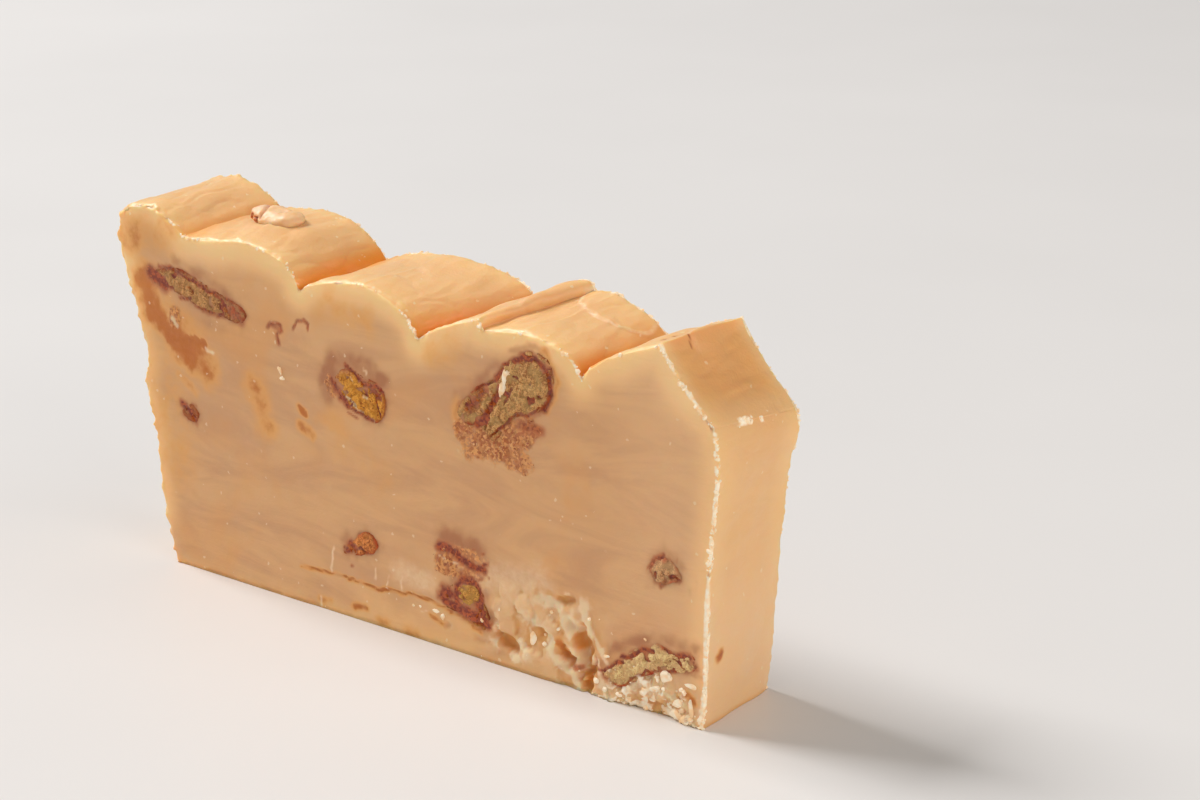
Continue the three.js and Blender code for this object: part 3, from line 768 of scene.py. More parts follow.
slice_mesh = bpy.data.meshes.new("fudge")
fill(slice_mesh, places, squares.tolist())
grain = layered(places, 0.5, 83, 2)
sugar_reach = (0.16 + 0.46 * sugar_here) * (1 + 0.6 * layered(places, 3.5, 85, 2))
sugar = np.exp(-(rim_distance / sugar_reach) ** 2) * sugar_here
sugar_gaps = grain + 0.9 * layered(places, 2.6, 89, 2) + 0.5 * (sugar_here - 0.5)
sugar = sugar * fade(sugar_gaps, -0.45, 0.25)
crease_middle = 1 - fade(np.abs(places[:, 1] + 0.4), 3.0, 4.6)
crease_sugar = np.exp(-(crease_distance / 0.8) ** 2) * crease_middle
crease_sugar = crease_sugar * near_crease * fade(layered(places, 1.1, 91, 2), -0.25, 0.15)
sugar = np.maximum(sugar, 0.9 * crease_sugar)
loose = crumbled * fade(lump_own + 0.5 * grain, 0.25, 0.6)
loose = loose + 0.6 * hollow_rim * fade(grain, -0.1, 0.5)
on_bevel = on_top & (cells[:, 0] > bevel_start)
# Painted shade: deep orange in the notches and down the walls under the crests, and an orange patch
# in the middle of the bevel
notch_shade = fade(lowness, 0.3, 3.2) * ~on_bevel
bevel_colour = on_bevel * fade(crease_distance, 0.5, 6.0) * fade(rim_distance, 0.2, 3.0)
# Painted glow: a brighter band along the upper edge of the cuts, for light that comes through the
# top of the slab
crest_glow_width = 3.6 + 2.2 * layered(places, 9, 93, 2)
crest_glow = np.exp(-(rim_distance / crest_glow_width) ** 2) * fade(places[:, 2], 38, 47)
crest_glow = crest_glow * (0.78 + 0.35 * layered(places, 6, 95, 2))
streaks = marks["cream"] + 0.8 * hollow_rim + 0.5 * end_lines + 0.6 * flake_edge
pale_end = on_right * fade(-places[:, 2], -30, -10)
for name, values in {
        "sugar": np.clip(sugar + loose * 0.6, 0, 1) * ~on_base,
        # How far each place is from the painted golden glow at the edges of the cuts
        "glow_distance": np.clip(rim_distance / 12 + 0.22 * fade(-places[:, 2], -9, -3), 0, 1),
        "halo": marks["halo"],
        "red": np.clip(marks["red"] + 0.7 * bevel_crack + 0.55 * end_spot, 0, 1),
        "syrup_and_glow": np.clip(marks["syrup_and_glow"] + 0.9 * end_spot, 0, 1),
        "cream": np.clip(streaks, 0, 1),
        "crumb": crumb,
        "torn": np.maximum(torn * 0.8, crumbled),
        # Painted shade: darker orange-brown in the hollows, more where they are deeper, and in the
        # gaps between the torn plates
        "hollow": np.clip(hollow / 2 + torn * fade(-tear, -0.05, 0.4) * 0.6, 0, 1),
        "low": (notch_shade + 0.36 * bevel_colour) * on_top,
        # A painted orange glow along the bottom edge, which warms the shade by the table
        "foot": np.exp(-(places[:, 2] / 0.6) ** 2),
        "crest_glow": crest_glow * on_cut,
        "pale": pale_end + 0.6 * fade(places[:, 0], 36, 52) * on_front,
        "band": under_crack * on_front,
        "skin": ~on_cut * fade(rim_distance, 0.0, 0.5)}.items():
    paint(slice_mesh, name, values)


class Signal:
    """One output of a finish's nodes. Arithmetic on it adds Math nodes."""

    def __init__(self, finish, socket):
        self.finish = finish
        self.socket = socket

    def maths(self, operation, *values):
        """A Math node over these values."""
        return self.finish.node("ShaderNodeMath", {"operation": operation}, dict(enumerate(values)))

    def __add__(self, other):
        return self.maths("ADD", self, other)

    def __radd__(self, other):
        return self.maths("ADD", other, self)

    def __sub__(self, other):
        return self.maths("SUBTRACT", self, other)

    def __rsub__(self, other):
        return self.maths("SUBTRACT", other, self)

    def __mul__(self, other):
        return self.maths("MULTIPLY", self, other)

    def __rmul__(self, other):
        return self.maths("MULTIPLY", other, self)

    def between(self, start, end):
        """0 at start and 1 at end, smooth between."""
        return self.finish.node(
            "ShaderNodeMapRange", {"interpolation_type": "SMOOTHSTEP"},
            {"Value": self, "From Min": start, "From Max": end})


class Finish:
    """The material of one piece."""

    def __init__(self, name):
        self.material = bpy.data.materials.new(name)
        self.material.use_nodes = True
        self.tree = self.material.node_tree
        self.tree.nodes.clear()
        self.place = self.node("ShaderNodeTexCoord", {}, {}, "Object")

    def node(self, kind, settings, sockets, output=0):
        """Adds a node, with its settings first, then its sockets, and gives one output."""
        node = self.tree.nodes.new(kind)
        for name, value in settings.items():
            setattr(node, name, value)
        for name, value in sockets.items():
            if isinstance(value, Signal):
                self.tree.links.new(value.socket, node.inputs[name])
            elif node.inputs[name].type == "RGBA":
                node.inputs[name].default_value = (*value, 1)
            else:
                node.inputs[name].default_value = value
        return Signal(self, node.outputs[output]) if len(node.outputs) else None

    def painted(self, name):
        """The number that was stored on the mesh under this name."""
        return self.node("ShaderNodeAttribute", {"attribute_name": name}, {}, "Fac")

    def stretched(self, scale, turn=(0, 0, 0)):
        """Object places, turned and scaled, in units of the noise's lumps."""
        return self.node("ShaderNodeMapping", {},
                         {"Vector": self.place, "Rotation": turn, "Scale": scale})

    def noise(self, vector, scale, detail=4.0, roughness=0.55, distortion=0.0):
        """Soft random lumps, from 0 to 1."""
        return self.node("ShaderNodeTexNoise", {},
                         {"Vector": vector, "Scale": scale, "Detail": detail,
                          "Roughness": roughness, "Distortion": distortion}, "Fac")

    def grains(self, scale):
        """A number of its own for each of many small cells."""
        cells = self.node("ShaderNodeTexVoronoi", {},
                          {"Vector": self.place, "Scale": scale}, "Color")
        return self.node("ShaderNodeSeparateColor", {}, {"Color": cells}, "Red")

    def mix(self, factor, first, second):
        """Blends two colours."""
        return self.node("ShaderNodeMix", {"data_type": "RGBA"},
                         {0: factor, 6: first, 7: second}, 2)

    def tinted(self, colour, tints):
        """Lays one colour after the other over the first, each where its share says."""
        for share, tint in tints:
            colour = self.mix(share, colour, tint)
        return colour

    def relief(self, height, distance, strength):
        """Fine bumps too small for the mesh."""
        return self.node("ShaderNodeBump", {},
                         {"Height": height, "Distance": distance, "Strength": strength})

    def shader(self, **sockets):
        """The surface itself. Socket names are written with _ for each space."""
        named = {name.replace("_", " "): value for name, value in sockets.items()}
        return self.node("ShaderNodeBsdfPrincipled", {}, named)

    def finished(self, shader):
        """Sends the shader to the material's output."""
        self.node("ShaderNodeOutputMaterial", {}, {"Surface": shader})
        return self.material


def fudge_finish():
    """Waxy caramel fudge: light goes in and scatters, and a painted glow and golden tint stand in
    for light coming through at the edges and the crest.
    """
    fudge = Finish("fudge")
    caramel, rosy = (0.81, 0.470, 0.215), (0.71, 0.385, 0.185)
    golden, warm = (1.0, 0.62, 0.27), (0.82, 0.40, 0.13)
    swirl = fudge.noise(fudge.stretched((38, 60, 150), (0, 0.18, 0)), 1.0, 5, 0.55, 1.6)
    cloud = fudge.noise(fudge.place, 60, 3, 0.5, 0.6)
    fine = fudge.noise(fudge.place, 900, 3, 0.6)
    grains = fudge.grains(2600)
    # Painted glow: the fudge turns golden near the edges of the cuts, as if lit through the thin
    # fudge there
    inner = fudge.painted("glow_distance").between(0.0, 0.46)
    skin, crest_glow, torn, crumb = (fudge.painted(name) for name in ("skin", "crest_glow", "torn", "crumb"))
    halo = (fudge.painted("halo") * (0.6 + cloud * 0.7)).between(0.05, 1.1)
    syrup_and_glow = fudge.painted("syrup_and_glow") * (0.65 + fine * 0.7)
    cream = (fudge.painted("cream") * (0.5 + fine)).between(0.15, 0.8)
    red = fudge.painted("red") * (0.55 + fine * 0.9)
    crumbly = (crumb * (0.35 + fine * 0.4 + grains * 0.7)).between(0.22, 0.62)
    crumb_colour = fudge.mix((grains * 0.6 + fine * 0.4).between(0.24, 0.80),
                             (0.46, 0.11, 0.020), (0.84, 0.40, 0.125))
    nut_skin = fudge.mix((grains * 0.4 + fine * 0.6).between(0.36, 0.70),
                         (0.25, 0.028, 0.005), (0.54, 0.10, 0.012))
    swirled = fudge.mix(swirl.between(0.35, 0.68), caramel, rosy)
    swirled = fudge.mix(cloud.between(0.50, 0.72) * 0.6, swirled, warm)
    colour = fudge.tinted(fudge.mix(inner, golden, swirled), (
        # Painted glow along the upper edge of the cuts, then the loaf's skin and the pale right end
        (crest_glow * 0.85, (1.0, 0.655, 0.32)),
        (skin * 0.65, (0.93, 0.570, 0.258)),
        (fudge.painted("pale") * 0.6, (0.95, 0.61, 0.34)),
        # Painted shade in the notches between the ridges and a patch on the bevel, and a painted
        # glow along the edge by the table
        (fudge.painted("low") * 0.95, (0.85, 0.30, 0.008)),
        (fudge.painted("foot") * 0.8, (1.0, 0.40, 0.12)),
        # The band under the crack, what the cut tore out, and painted shade in the hollows
        (fudge.painted("band") * cloud.between(0.35, 0.6) * 0.5, golden),
        (torn * (0.4 + cloud) * 0.7, (0.93, 0.62, 0.33)),
        (fudge.painted("hollow").between(0.05, 0.75) * 0.85, (0.78, 0.35, 0.075)),
        # What soaked in round the nuts: dusky oil, then syrup in three depths, which near the left
        # end is painted glow
        (halo * 0.9, (0.49, 0.185, 0.068)),
        (syrup_and_glow.between(0.02, 0.45) * 0.8, (0.88, 0.44, 0.12)),
        (syrup_and_glow.between(0.30, 0.75) * 0.9, (0.60, 0.165, 0.008)),
        (syrup_and_glow.between(0.80, 1.5) * 0.9, (0.50, 0.12, 0.006)),
        # A few loose sugar grains, nut crumbs, cream streaks and nut skin
        (grains.between(0.9965, 0.998) * 0.5, (0.97, 0.78, 0.52)),
        (crumbly * 0.9, crumb_colour),
        (cream * 0.8, (1.0, 0.755, 0.49)),
        (red.between(0.05, 0.4) * 0.65, (0.58, 0.19, 0.06)),
        (red.between(0.25, 0.85), nut_skin)))
    ripple = fudge.noise(fudge.stretched((90, 260, 620), (0, 0.1, 0)), 1.0, 4, 0.6, 0.8)
    pores = fudge.noise(fudge.place, 2600, 2, 0.6)
    height = ripple * 0.8 + fine * 0.7 + pores * 0.25 + cloud * 0.8 + crumb * grains * 1.2
    black = (0.0, 0.0, 0.0)
    # Painted glow: a faint light given off near the edges of the cuts, brighter along the crest
    glow = fudge.mix((inner + skin).between(0.9, 0.0), black, (0.42, 0.175, 0.042))
    glow = fudge.mix(crest_glow, glow, (0.90, 0.55, 0.20))
    body = fudge.shader(
        Base_Color=colour, Emission_Color=glow, Emission_Strength=0.12,
        Roughness=0.38 + fine * 0.14 + torn * 0.12, Normal=fudge.relief(height, 0.0002, 0.6),
        Subsurface_Weight=0.85, Subsurface_Radius=(1.0, 0.62, 0.36), Subsurface_Scale=0.0012,
        IOR=1.46, Coat_Weight=0.12, Coat_Roughness=0.28)
    # Dry sugar with a faint painted glow, so that it keeps its cream colour in shade
    dry_sugar = fudge.shader(
        Base_Color=fudge.mix(fine.between(0.35, 0.6), (0.98, 0.76, 0.50), (1.0, 0.91, 0.74)),
        Emission_Color=(1.0, 0.70, 0.42), Emission_Strength=0.09,
        Roughness=0.55 + fine * 0.2, Normal=fudge.relief(fine, 0.0002, 0.6))
    sugared = (fudge.painted("sugar") * (0.55 + fine * 0.9)).between(0.30, 0.70)
    mixed = fudge.node("ShaderNodeMixShader", {}, {0: sugared, 1: body, 2: dry_sugar})
    return fudge.finished(mixed)


def in_scene(name, mesh, finish):
    """Gives a mesh its finish and puts it into the scene as one piece."""
    mesh.materials.append(finish)
    piece = bpy.data.objects.new(name, mesh)
    bpy.context.scene.collection.objects.link(piece)
    return piece


slice_piece = in_scene("fudge_slice_body", slice_mesh, fudge_finish())
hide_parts("fudge_slice")
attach(slice_piece, "root")

# ---------------------------------------------------------------------------
# The pecan pieces in the cuts. Each was stirred into the warm fudge and then cut
# through with it, so it shows a dry crumbly inside and a thin dark skin round it.

NUT_STEP = 0.17

# Inside colours: main, second, and skin
NUT_LOOKS = {
    "pecan_long": ((0.53, 0.275, 0.105), (0.34, 0.115, 0.04), (0.26, 0.05, 0.02)),
    "pecan_crumbled": ((0.72, 0.31, 0.050), (0.42, 0.11, 0.02), (0.26, 0.042, 0.018)),
    "pecan_half": ((0.56, 0.32, 0.12), (0.38, 0.145, 0.05), (0.26, 0.05, 0.018)),
    "pecan_round": ((0.60, 0.31, 0.075), (0.46, 0.18, 0.04), (0.20, 0.035, 0.014)),
    "pecan_sliver": ((0.66, 0.25, 0.07), (0.48, 0.13, 0.04), (0.32, 0.06, 0.02)),
    "pecan_chip": ((0.60, 0.34, 0.16), (0.44, 0.18, 0.075), (0.36, 0.11, 0.05)),
    "pecan_corner": ((0.78, 0.50, 0.23), (0.58, 0.28, 0.11), (0.34, 0.05, 0.02)),
    "pecan_buried": ((0.48, 0.16, 0.06), (0.38, 0.11, 0.04), (0.32, 0.08, 0.03)),
}


def fine_copy(node, step):
    """The CAD solid as an even fine mesh, as arrays in millimetres."""
    mesh = node.data.copy()
    work = bpy.data.objects.new("work", mesh)
    bpy.context.scene.collection.objects.link(work)
    remesh = work.modifiers.new("even", "REMESH")
    remesh.mode = "VOXEL"
    remesh.voxel_size = step * MM
    evaluated = work.evaluated_get(bpy.context.evaluated_depsgraph_get())
    fine = evaluated.to_mesh()
    places = np.array([v.co for v in fine.vertices]) / MM
    faces = [tuple(p.vertices) for p in fine.polygons]
    evaluated.to_mesh_clear()
    bpy.data.objects.remove(work)
    bpy.data.meshes.remove(mesh)
    return places, faces


def face_edges(faces):
    """Every edge once, as two vertex numbers."""
    pairs = set()
    for face in faces:
        for a, b in zip(face, face[1:] + face[:1]):
            pairs.add((min(a, b), max(a, b)))
    return np.array(sorted(pairs))


def mesh_normals(mesh):
    """The mesh's own normal at each vertex."""
    normals = np.zeros(len(mesh.vertices) * 3, np.float32)
    mesh.vertices.foreach_get("normal", normals)
    return normals.reshape(-1, 3).astype(float)


def nut_piece(name, seed):
    """A pecan piece with a crumbly cut face and a lumpy skin side."""
    places, faces = fine_copy(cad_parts[name], NUT_STEP)
    out = 1 if name in REAR_COPIES else -1
    plane = out * (THICKNESS / 2 - 0.15)
    edges = face_edges(faces)
    for _ in range(5):
        places = places * 0.5 + neighbour_mean(places, edges) * 0.5
    mesh = bpy.data.meshes.new(name + "_nut")
    fill(mesh, places, faces)
    normals = mesh_normals(mesh)
    # Sideways it swells to fill its pocket and gets an uneven outline
    sideways = normals * (1, 0.35, 1)
    swell = 0.42 + 0.20 * layered(places, 2.0, seed) + 0.20 * layered(places, 0.8, seed + 5)
    on_face = fade(out * (places[:, 1] - plane), -0.45, -0.12)
    places = places + sideways * swell[:, None]
    spots = places[:, [0, 2]] - (to_middle, 0) + 0.2 * np.column_stack(
        [unevenness(places, 0.9, 5), unevenness(places, 0.9, 6)])
    spots = as_on_front(name, spots)
    red, cream, dusk = (marked(spots, lines) * on_face
                        for lines in (RED_MARKS, CREAM_MARKS, HALO_MARKS))
    # The cut inside: crumbs, small pits and a skin edge that stands level with the fudge
    border = np.flatnonzero((on_face > 0.02) & (on_face < 0.6))
    tree = KDTree(len(border))
    for i, place in enumerate(border):
        tree.insert(places[place], i)
    tree.balance()
    to_skin = np.array([tree.find(place)[2] for place in places])
    lump, gap, own = crumbs(places, 0.8, seed + 11)
    pits = fade(layered(places, 1.6, seed + 17), 0.20, 0.55)
    relief = 0.20 * own + 0.30 * (0.45 - lump) - 0.75 * pits - 0.55 * red + 0.12 * cream
    relief = relief * fade(to_skin, 0.1, 0.8) + 0.24
    places[:, 1] = np.clip(places[:, 1] + out * on_face * relief, -OUTMOST, OUTMOST)
    fill(mesh, places, faces)
    for kind, values in {
            "inside": fade(to_skin + 0.55 * layered(places, 1.5, seed + 23), 0.20, 0.95) * on_face,
            "pit": pits * on_face, "lump": own, "seam": fade(gap, 0.14, 0.0) * on_face,
            "red": red, "cream": cream, "dusk": dusk,
            "worn": fade(layered(places, 2.2, seed + 29), 0.0, 0.5) * on_face}.items():
        paint(mesh, kind, values)
    return mesh


def nut_finish(name, main, second, skin):
    """Dry nut meat in two tans with pale flecks, partly painted highlights, inside a dark wrinkled
    skin.
    """
    nut = Finish(name)
    coarse = nut.noise(nut.place, 380, 4, 0.6, 0.5)
    fine = nut.noise(nut.place, 1500, 3, 0.65)
    tiny = nut.noise(nut.place, 4200, 2, 0.6)
    lump = nut.painted("lump")
    red = nut.painted("red") * (0.5 + fine)
    dark, pale = tuple(c * 0.6 for c in second), tuple(min(c * 1.5, 0.95) for c in main)
    red_skin = nut.mix((fine + tiny * 0.5).between(0.6, 0.9),
                       (0.22, 0.026, 0.006), (0.48, 0.10, 0.014))
    meat = nut.tinted(main, (
        ((coarse + lump * 0.16).between(0.46, 0.62) * 0.85, second),
        # Pale flecks: partly the nut's own paler bits, partly painted highlights on its crumbs
        ((tiny + lump * 0.14).between(0.48, 0.62) * 0.7, pale),
        ((fine * 0.6 + tiny * 0.4).between(0.44, 0.34) * 0.5, tuple(c * 0.55 for c in second)),
        (nut.painted("seam") * coarse.between(0.4, 0.6) * 0.3, dark),
        (nut.painted("pit") * 0.6, dark),
        ((nut.painted("dusk") * (0.5 + coarse)).between(0.25, 0.9) * 0.7, (0.46, 0.19, 0.095)),
        ((nut.painted("cream") * (0.5 + tiny)).between(0.2, 0.8) * 0.8, (0.88, 0.72, 0.48)),
        (red.between(0.25, 0.8), red_skin)))
    # Where the skin is worn off, the nut shows between its two tans
    peel = nut.mix(fine.between(0.38, 0.58), skin, tuple(c * 1.6 for c in skin))
    half_tan = tuple((c + d) / 2 for c, d in zip(main, second))
    peel = nut.mix(nut.painted("worn") * 0.8, peel, half_tan)
    colour = nut.mix(nut.painted("inside"), peel, meat)
    height = tiny * 0.6 + fine * 1.0 + coarse
    return nut.finished(nut.shader(
        Base_Color=colour, Roughness=0.60 + fine * 0.2, Normal=nut.relief(height, 0.0002, 0.7),
        Specular_IOR_Level=0.15,
        Subsurface_Weight=0.2, Subsurface_Radius=(1.0, 0.5, 0.25), Subsurface_Scale=0.0004))


for count, name in enumerate(cut_nuts):
    like = REAR_COPIES[name][0] if name in REAR_COPIES else name
    nut = in_scene(name + "_piece", nut_piece(name, 100 + 31 * count),
                   nut_finish(name + "_finish", *NUT_LOOKS[like]))
    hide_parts(name)
    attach(nut, "root")

# ---------------------------------------------------------------------------
# The pecan piece on top. It lies half sunk in the second ridge with a thin coat of
# fudge over it, so only its broken end shows nut skin.

places, faces = fine_copy(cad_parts["pecan_on_top"], 0.2)
edges = face_edges(faces)
for _ in range(8):
    places = places * 0.5 + neighbour_mean(places, edges) * 0.5
coated_mesh = bpy.data.meshes.new("pecan_on_top_coat")
fill(coated_mesh, places, faces)
normals = mesh_normals(coated_mesh)
broken_end = fade(0.6 * layered(places, 1.4, 303) - places[:, 0], 34.6, 35.4)
broken_end = broken_end * fade(normals[:, 2], 0.80, 0.50)
_, _, own = crumbs(places, 0.9, 307)
swell = 0.10 + 0.30 * layered(places, (3.0, 2.2, 2.2), 311) + 0.12 * layered(places, 0.8, 313)
across = places[:, 0] + 34.9 + 0.45 * places[:, 1] + 0.5 * layered(places, 2.0, 317)
fold = np.exp(-(across / 0.30) ** 2) * fade(normals[:, 2], 0.1, 0.6)
dent = 1 - fade(patch(places[:, [0, 1]], (-32.6, 0.9), (2.4, 1.1), 8), 0.5, 1.1)
bump = swell - 0.45 * fold - 0.30 * dent * fade(normals[:, 2], 0.3, 0.8)
bump = bump + broken_end * (0.4 * own - 0.4)
places = places + normals * bump[:, None]
fill(coated_mesh, places, faces)
pink = fade(-places[:, 0] + 0.3 * layered(places, 1.5, 319), 34.0, 36.0)
paint(coated_mesh, "broken", np.clip(broken_end + 0.5 * fold, 0, 1))
paint(coated_mesh, "pink", pink * fade(places[:, 2], 57.2, 58.2))


def coat_finish():
    """Pale fudge over nut: smooth and light, with brown crumbs at the broken end."""
    coat = Finish("coated_pecan")
    cloud = coat.noise(coat.place, 230, 3, 0.5, 0.4)
    fine = coat.noise(coat.place, 1300, 3, 0.6)
    colour = coat.mix(cloud.between(0.35, 0.65), (0.92, 0.60, 0.33), (0.88, 0.53, 0.26))
    colour = coat.mix(coat.painted("pink") * 0.6, colour, (0.94, 0.62, 0.42))
    skin = coat.mix(fine.between(0.4, 0.60), (0.45, 0.10, 0.03), (0.75, 0.30, 0.11))
    colour = coat.mix(coat.painted("broken"), colour, skin)
    return coat.finished(coat.shader(
        Base_Color=colour, Roughness=0.36 + fine * 0.16,
        Normal=coat.relief(fine + cloud, 0.0001, 0.5),
        Subsurface_Weight=0.8, Subsurface_Radius=(1.0, 0.62, 0.36), Subsurface_Scale=0.001))


coated = in_scene("pecan_on_top_piece", coated_mesh, coat_finish())
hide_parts("pecan_on_top")
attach(coated, "root")

# ---------------------------------------------------------------------------
# The sugar crumbs. Where the knife left the fudge it dragged up a ragged line of
# dry sugar grains along the edges of the cuts, and broke larger bits out low on
# the front.

draw = np.random.default_rng(20)


def round_shape(cuts):
    """Corners and faces of a ball made of triangles, 20 of them where cuts is 1."""
    ball = bmesh.new()
    bmesh.ops.create_icosphere(ball, subdivisions=cuts, radius=1.0)
    corners = np.array([v.co for v in ball.verts])
    faces = np.array([[v.index for v in face.verts] for face in ball.faces])
    ball.free()
    return corners, faces


def random_turns(count):
    """One 3 by 3 matrix for each grain."""
    axis = draw.normal(size=(count, 3))
    axis /= np.linalg.norm(axis, axis=1)[:, None]
    angle = draw.uniform(0, math.tau, count)
    cross = np.zeros((count, 3, 3))
    cross[:, 0, 1], cross[:, 0, 2], cross[:, 1, 2] = -axis[:, 2], axis[:, 1], -axis[:, 0]
    cross = cross - np.transpose(cross, (0, 2, 1))
    sine, cosine = np.sin(angle)[:, None, None], np.cos(angle)[:, None, None]
    return np.eye(3) + sine * cross + (1 - cosine) * (cross @ cross)


def scattered(wanted, smallest, largest, sunk):
    """Loose grains as one mesh: each place of the slice gets one by its chance."""
    chosen = np.flatnonzero(draw.uniform(size=len(wanted)) < wanted)
    corners, faces = round_shape(1)
    size = smallest + (largest - smallest) * draw.uniform(size=(len(chosen), 1)) ** 2.2
    size = size * draw.uniform(0.6, 1.3, size=(len(chosen), 3))
    uneven = draw.uniform(0.7, 1.25, size=(len(chosen), len(corners), 1))
    shapes = corners[None] * uneven * size[:, None]
    shapes = np.einsum("gij,gkj->gki", random_turns(len(chosen)), shapes)
    shapes += (slice_places[chosen] - slice_out[chosen] * sunk)[:, None]
    shapes[..., 2] = np.maximum(shapes[..., 2], 0.0)
    shapes[..., 1] = np.clip(shapes[..., 1], -OUTMOST, OUTMOST)
    every = (faces[None] + len(corners) * np.arange(len(chosen))[:, None, None]).reshape(-1, 3)
    return shapes.reshape(-1, 3), every


slice_places = np.array([v.co for v in slice_mesh.vertices]) / MM
slice_out = mesh_normals(slice_mesh)
bare = on_base | (pocket > 0)
wanted = np.exp(-(rim_distance / 0.34) ** 2) * np.maximum(sugar_here - 0.1, 0) ** 1.3 * 0.42
wanted = wanted * fade(layered(slice_places, 2.4, 401, 2), -0.45, 0.4)
wanted = np.maximum(wanted, torn * 0.004 + hollow_rim * 0.02 + crease_sugar * 0.16)
wanted[bare] = 0
grain_places, grain_faces = scattered(wanted, 0.08, 0.36, -0.02)
wanted = crumbled * 0.055 * fade(layered(slice_places, 1.8, 403, 2), -0.3, 0.3)
wanted[bare] = 0
rubble_places, rubble_faces = scattered(wanted, 0.12, 0.5, 0.05)
rubble_faces = rubble_faces + len(grain_places)
grain_places = np.vstack([grain_places, rubble_places])
grain_faces = np.vstack([grain_faces, rubble_faces])

# The larger bits: middle, half sizes and turn in the cut
CHUNKS = [
    ((21.2, 44.3), (0.58, 2.1), -14), ((20.45, 42.7), (0.64, 1.8), -22),
    ((50.0, 6.4), (1.15, 0.85), 20), ((48.0, 4.1), (0.95, 0.36), 25),
    ((37.3, 2.4), (0.62, 0.42), -15),
    ((54.0, 6.0), (0.85, 0.4), -5), ((49.6, 0.9), (1.3, 0.7), -5), ((51.6, 1.0), (1.2, 0.8), 10),
    ((54.0, 2.5), (0.42, 1.2), 5), ((44.4, 6.3), (0.42, 0.34), 0), ((39.2, 6.6), (0.5, 0.3), 10),
    ((51.8, 2.9), (0.8, 0.5), 30), ((44.8, 0.5), (0.8, 0.36), -10), ((41.6, 1.5), (0.5, 0.36), 0),
    ((46.8, 1.9), (0.6, 0.4), 20), ((39.0, 1.6), (0.42, 0.36), 0), ((46.1, 10.9), (0.22, 0.2), 0),
    ((42.9, 1.0), (0.6, 0.4), 30), ((53.0, 0.8), (0.7, 0.5), -20), ((45.9, 3.4), (0.4, 0.3), 0),
    ((52.4, 5.0), (0.45, 0.3), 40), ((7.0, 5.4), (0.7, 0.32), -5), ((8.2, 4.8), (0.36, 0.5), 0),
    ((-24.1, 36.8), (0.40, 0.6), 10), ((-23.6, 35.6), (0.46, 0.38), 0),
    ((2.4, 5.2), (0.24, 0.2), 0),
    ((3.8, 5.3), (0.26, 0.22), 0), ((16.0, 6.2), (0.34, 0.3), 0), ((40.8, 5.0), (0.3, 0.24), 0),
    ((29.0, 10.6), (0.3, 0.24), 0), ((25.4, 5.8), (0.6, 0.9), 10), ((27.6, 5.4), (0.5, 0.4), 0),
]
surface = BVHTree.FromPolygons([Vector(p) for p in slice_places], squares.tolist())
corners, faces = round_shape(4)
chunk_places, chunk_faces = [], []
for count, ((chunk_x, chunk_z), (half_wide, half_high), turn) in enumerate(CHUNKS):
    angle = math.radians(turn)
    half_deep = 0.42 * min(half_wide, half_high) + 0.1
    # Broken flat on several sides, and rough all over
    facets = draw.normal(size=(9, 3))
    facets /= np.linalg.norm(facets, axis=1)[:, None]
    reach = draw.uniform(0.6, 1.0, 9) / np.maximum(corners @ facets.T, 0.2)
    rough = 1 + 0.30 * layered(corners + 7.0 * count, 0.7, 431)
    reach = (np.minimum(reach.min(axis=1), 1.15) * rough)[:, None]
    shape = corners * reach * (half_wide, half_deep, half_high)
    shape[:, [0, 2]] = shape[:, [0, 2]] @ np.array([[math.cos(angle), math.sin(angle)],
                                                    [-math.sin(angle), math.cos(angle)]])
    from_front = Vector((chunk_x + to_middle, -THICKNESS, chunk_z))
    met = surface.ray_cast(from_front, Vector((0, 1, 0)))[0]
    level = max(met.y, -THICKNESS / 2 - 0.1) if met.y < -THICKNESS / 2 + 1.2 else -THICKNESS / 2
    shape += (chunk_x + to_middle, level, chunk_z)
    shape[:, 2] = np.maximum(shape[:, 2], 0.0)
    shape[:, 1] = np.maximum(shape[:, 1], -OUTMOST)
    chunk_places.append(shape)
    chunk_faces.append(faces + len(grain_places) + count * len(corners))
bits_mesh = bpy.data.meshes.new("sugar_crumbs")
bits_mesh.from_pydata((np.vstack([grain_places] + chunk_places) * MM).tolist(), [],
                      np.vstack([grain_faces] + chunk_faces).tolist())


def sugar_finish():
    """Dry fondant sugar, off-white and matt, some grains still caramel coloured, with a faint
    painted glow.
    """
    grains = Finish("sugar_crumbs")
    own = grains.noise(grains.place, 700, 1, 0.5)
    fine = grains.noise(grains.place, 5000, 2, 0.6)
    colour = grains.mix(own.between(0.46, 0.66), (1.0, 0.87, 0.66), (0.97, 0.66, 0.36))
    return grains.finished(grains.shader(
        Emission_Color=(1.0, 0.68, 0.40), Emission_Strength=0.08,
        Base_Color=colour, Roughness=0.5 + fine * 0.3, Normal=grains.relief(fine, 0.00005, 0.6)))


bits = in_scene("sugar_crumbs", bits_mesh, sugar_finish())
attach(bits, "root")

# ---------------------------------------------------------------------------
# The nut crumbs. Bits of broken pecan, pressed into the cut beside the larger
# pieces and held by the fudge.

wanted = crumb ** 1.5 * 0.11 * fade(layered(slice_places, 1.6, 409, 2), -0.6, 0.3)
wanted[bare | ~on_cut] = 0
crumb_places, crumb_faces = scattered(wanted, 0.08, 0.25, 0.03)
nut_crumb_mesh = bpy.data.meshes.new("nut_crumbs")
nut_crumb_mesh.from_pydata((crumb_places * MM).tolist(), [], crumb_faces.tolist())


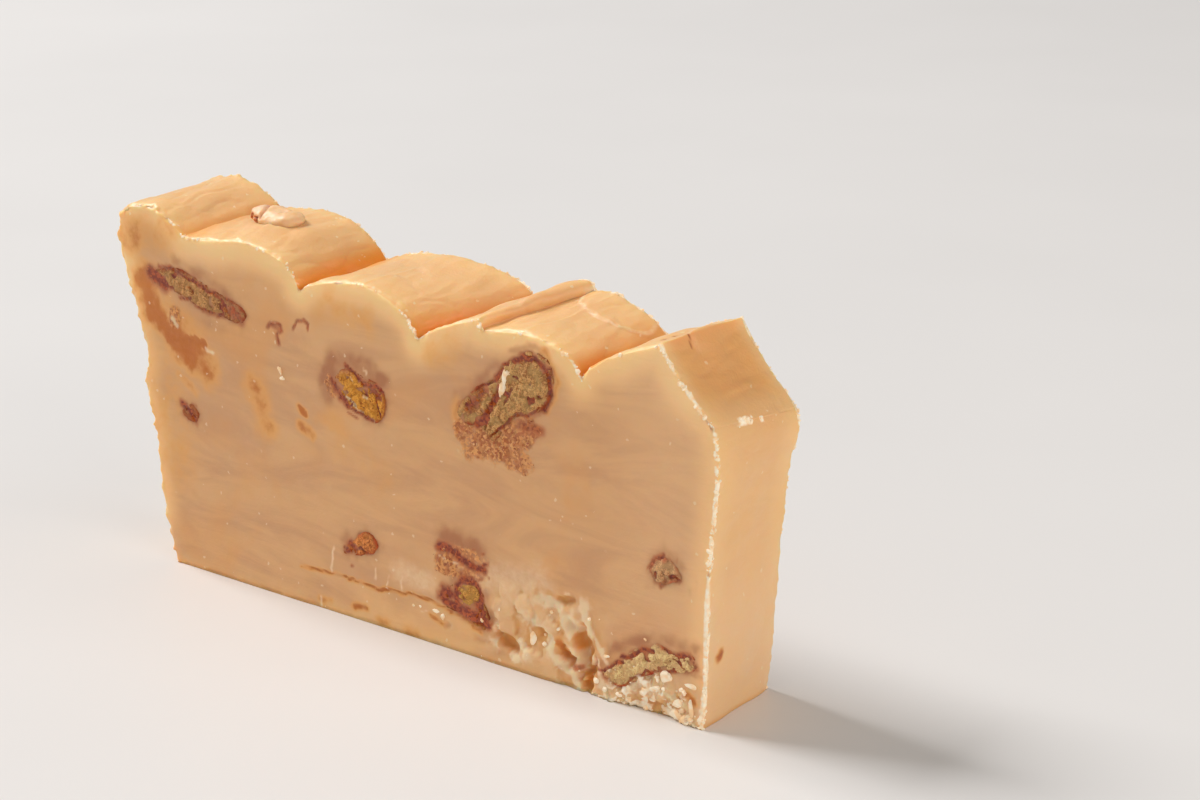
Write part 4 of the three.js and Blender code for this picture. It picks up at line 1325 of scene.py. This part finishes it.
def nut_crumb_finish():
    """Broken nut: rosy tan meat and dark red skin."""
    crumb = Finish("nut_crumbs")
    own = crumb.noise(crumb.place, 1100, 2, 0.6)
    fine = crumb.noise(crumb.place, 4000, 2, 0.6)
    colour = crumb.mix(own.between(0.40, 0.52), (0.36, 0.075, 0.025), (0.82, 0.40, 0.15))
    colour = crumb.mix(own.between(0.54, 0.66), colour, (0.93, 0.60, 0.33))
    return crumb.finished(crumb.shader(
        Base_Color=colour, Roughness=0.5 + fine * 0.25, Normal=crumb.relief(fine, 0.00005, 0.6)))


nut_crumbs = in_scene("nut_crumbs", nut_crumb_mesh, nut_crumb_finish())
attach(nut_crumbs, "root")

# ---------------------------------------------------------------------------
# The table and backdrop. One pale sheet of smooth matt stone, level under the slice
# and large enough to fill the view from any side.

FLOOR_REACH = 3.0
floor_mesh = bpy.data.meshes.new("floor")
floor_mesh.from_pydata([(FLOOR_REACH * i, FLOOR_REACH * j, 0)
                        for i, j in ((-1, -1), (1, -1), (1, 1), (-1, 1))], [], [(0, 1, 2, 3)])


def floor_finish():
    """Smooth pale stone, without its veins."""
    stone = Finish("pale_floor")
    cloud = stone.noise(stone.place, 9, 3, 0.5)
    colour = stone.mix(cloud, (0.77, 0.76, 0.75), (0.80, 0.79, 0.78))
    return stone.finished(stone.shader(Base_Color=colour, Roughness=0.42 + cloud * 0.1))


floor = in_scene("floor", floor_mesh, floor_finish())

# ---------------------------------------------------------------------------
# The studio: a broad soft window high on the left, a low wide fill from the right,
# and a pale room all round.


def soft_light(name, place, target, size, power, colour):
    """A large rectangular lamp that faces its target."""
    light = bpy.data.lights.new(name, "AREA")
    light.shape = "RECTANGLE"
    light.size, light.size_y = size
    light.energy = power
    light.color = colour
    lamp = bpy.data.objects.new(name, light)
    lamp.location = place
    lamp.rotation_euler = (Vector(target) - Vector(place)).to_track_quat("-Z", "Y").to_euler()
    bpy.context.scene.collection.objects.link(lamp)


MIDDLE = (0, 0, 0.03)
soft_light("window", (-1.78, -0.20, 1.88), MIDDLE, (1.0, 1.0), 60, (1.0, 0.985, 0.98))
soft_light("right_fill", (1.35, -0.1, 0.75), MIDDLE, (1.4, 0.6), 9.5, (1.0, 0.94, 0.87))
soft_light("front_fill", (0.5, -2.0, 0.3), MIDDLE, (1.8, 0.5), 2.5, (1.0, 0.97, 0.94))

room = bpy.data.worlds.new("room")
room.use_nodes = True
background = room.node_tree.nodes["Background"]
background.inputs["Color"].default_value = (1.0, 0.965, 0.93, 1)
background.inputs["Strength"].default_value = 0.28
bpy.context.scene.world = room
bpy.context.scene.view_settings.view_transform = "Standard"

# ---------------------------------------------------------------------------
# The camera. A long lens, a little above the slice and round to its right, which
# looks past the slice's right end.

EYE_PLACE = (250.13 + to_middle, -273.38, 147.89)
camera = bpy.data.cameras.new("camera")
camera.lens = 78.0
camera.sensor_width = 36.0
camera.clip_start = 0.01
eye = bpy.data.objects.new("camera", camera)
forward = Vector((-0.59795, 0.74608, -0.29295))
right = Vector((0.78032, 0.62539, 0.0))
up = right.cross(forward)
turn = Matrix((right, up, -forward)).transposed().to_4x4()
eye.matrix_world = Matrix.Translation(Vector(EYE_PLACE) * MM) @ turn
bpy.context.scene.collection.objects.link(eye)
bpy.context.scene.camera = eye
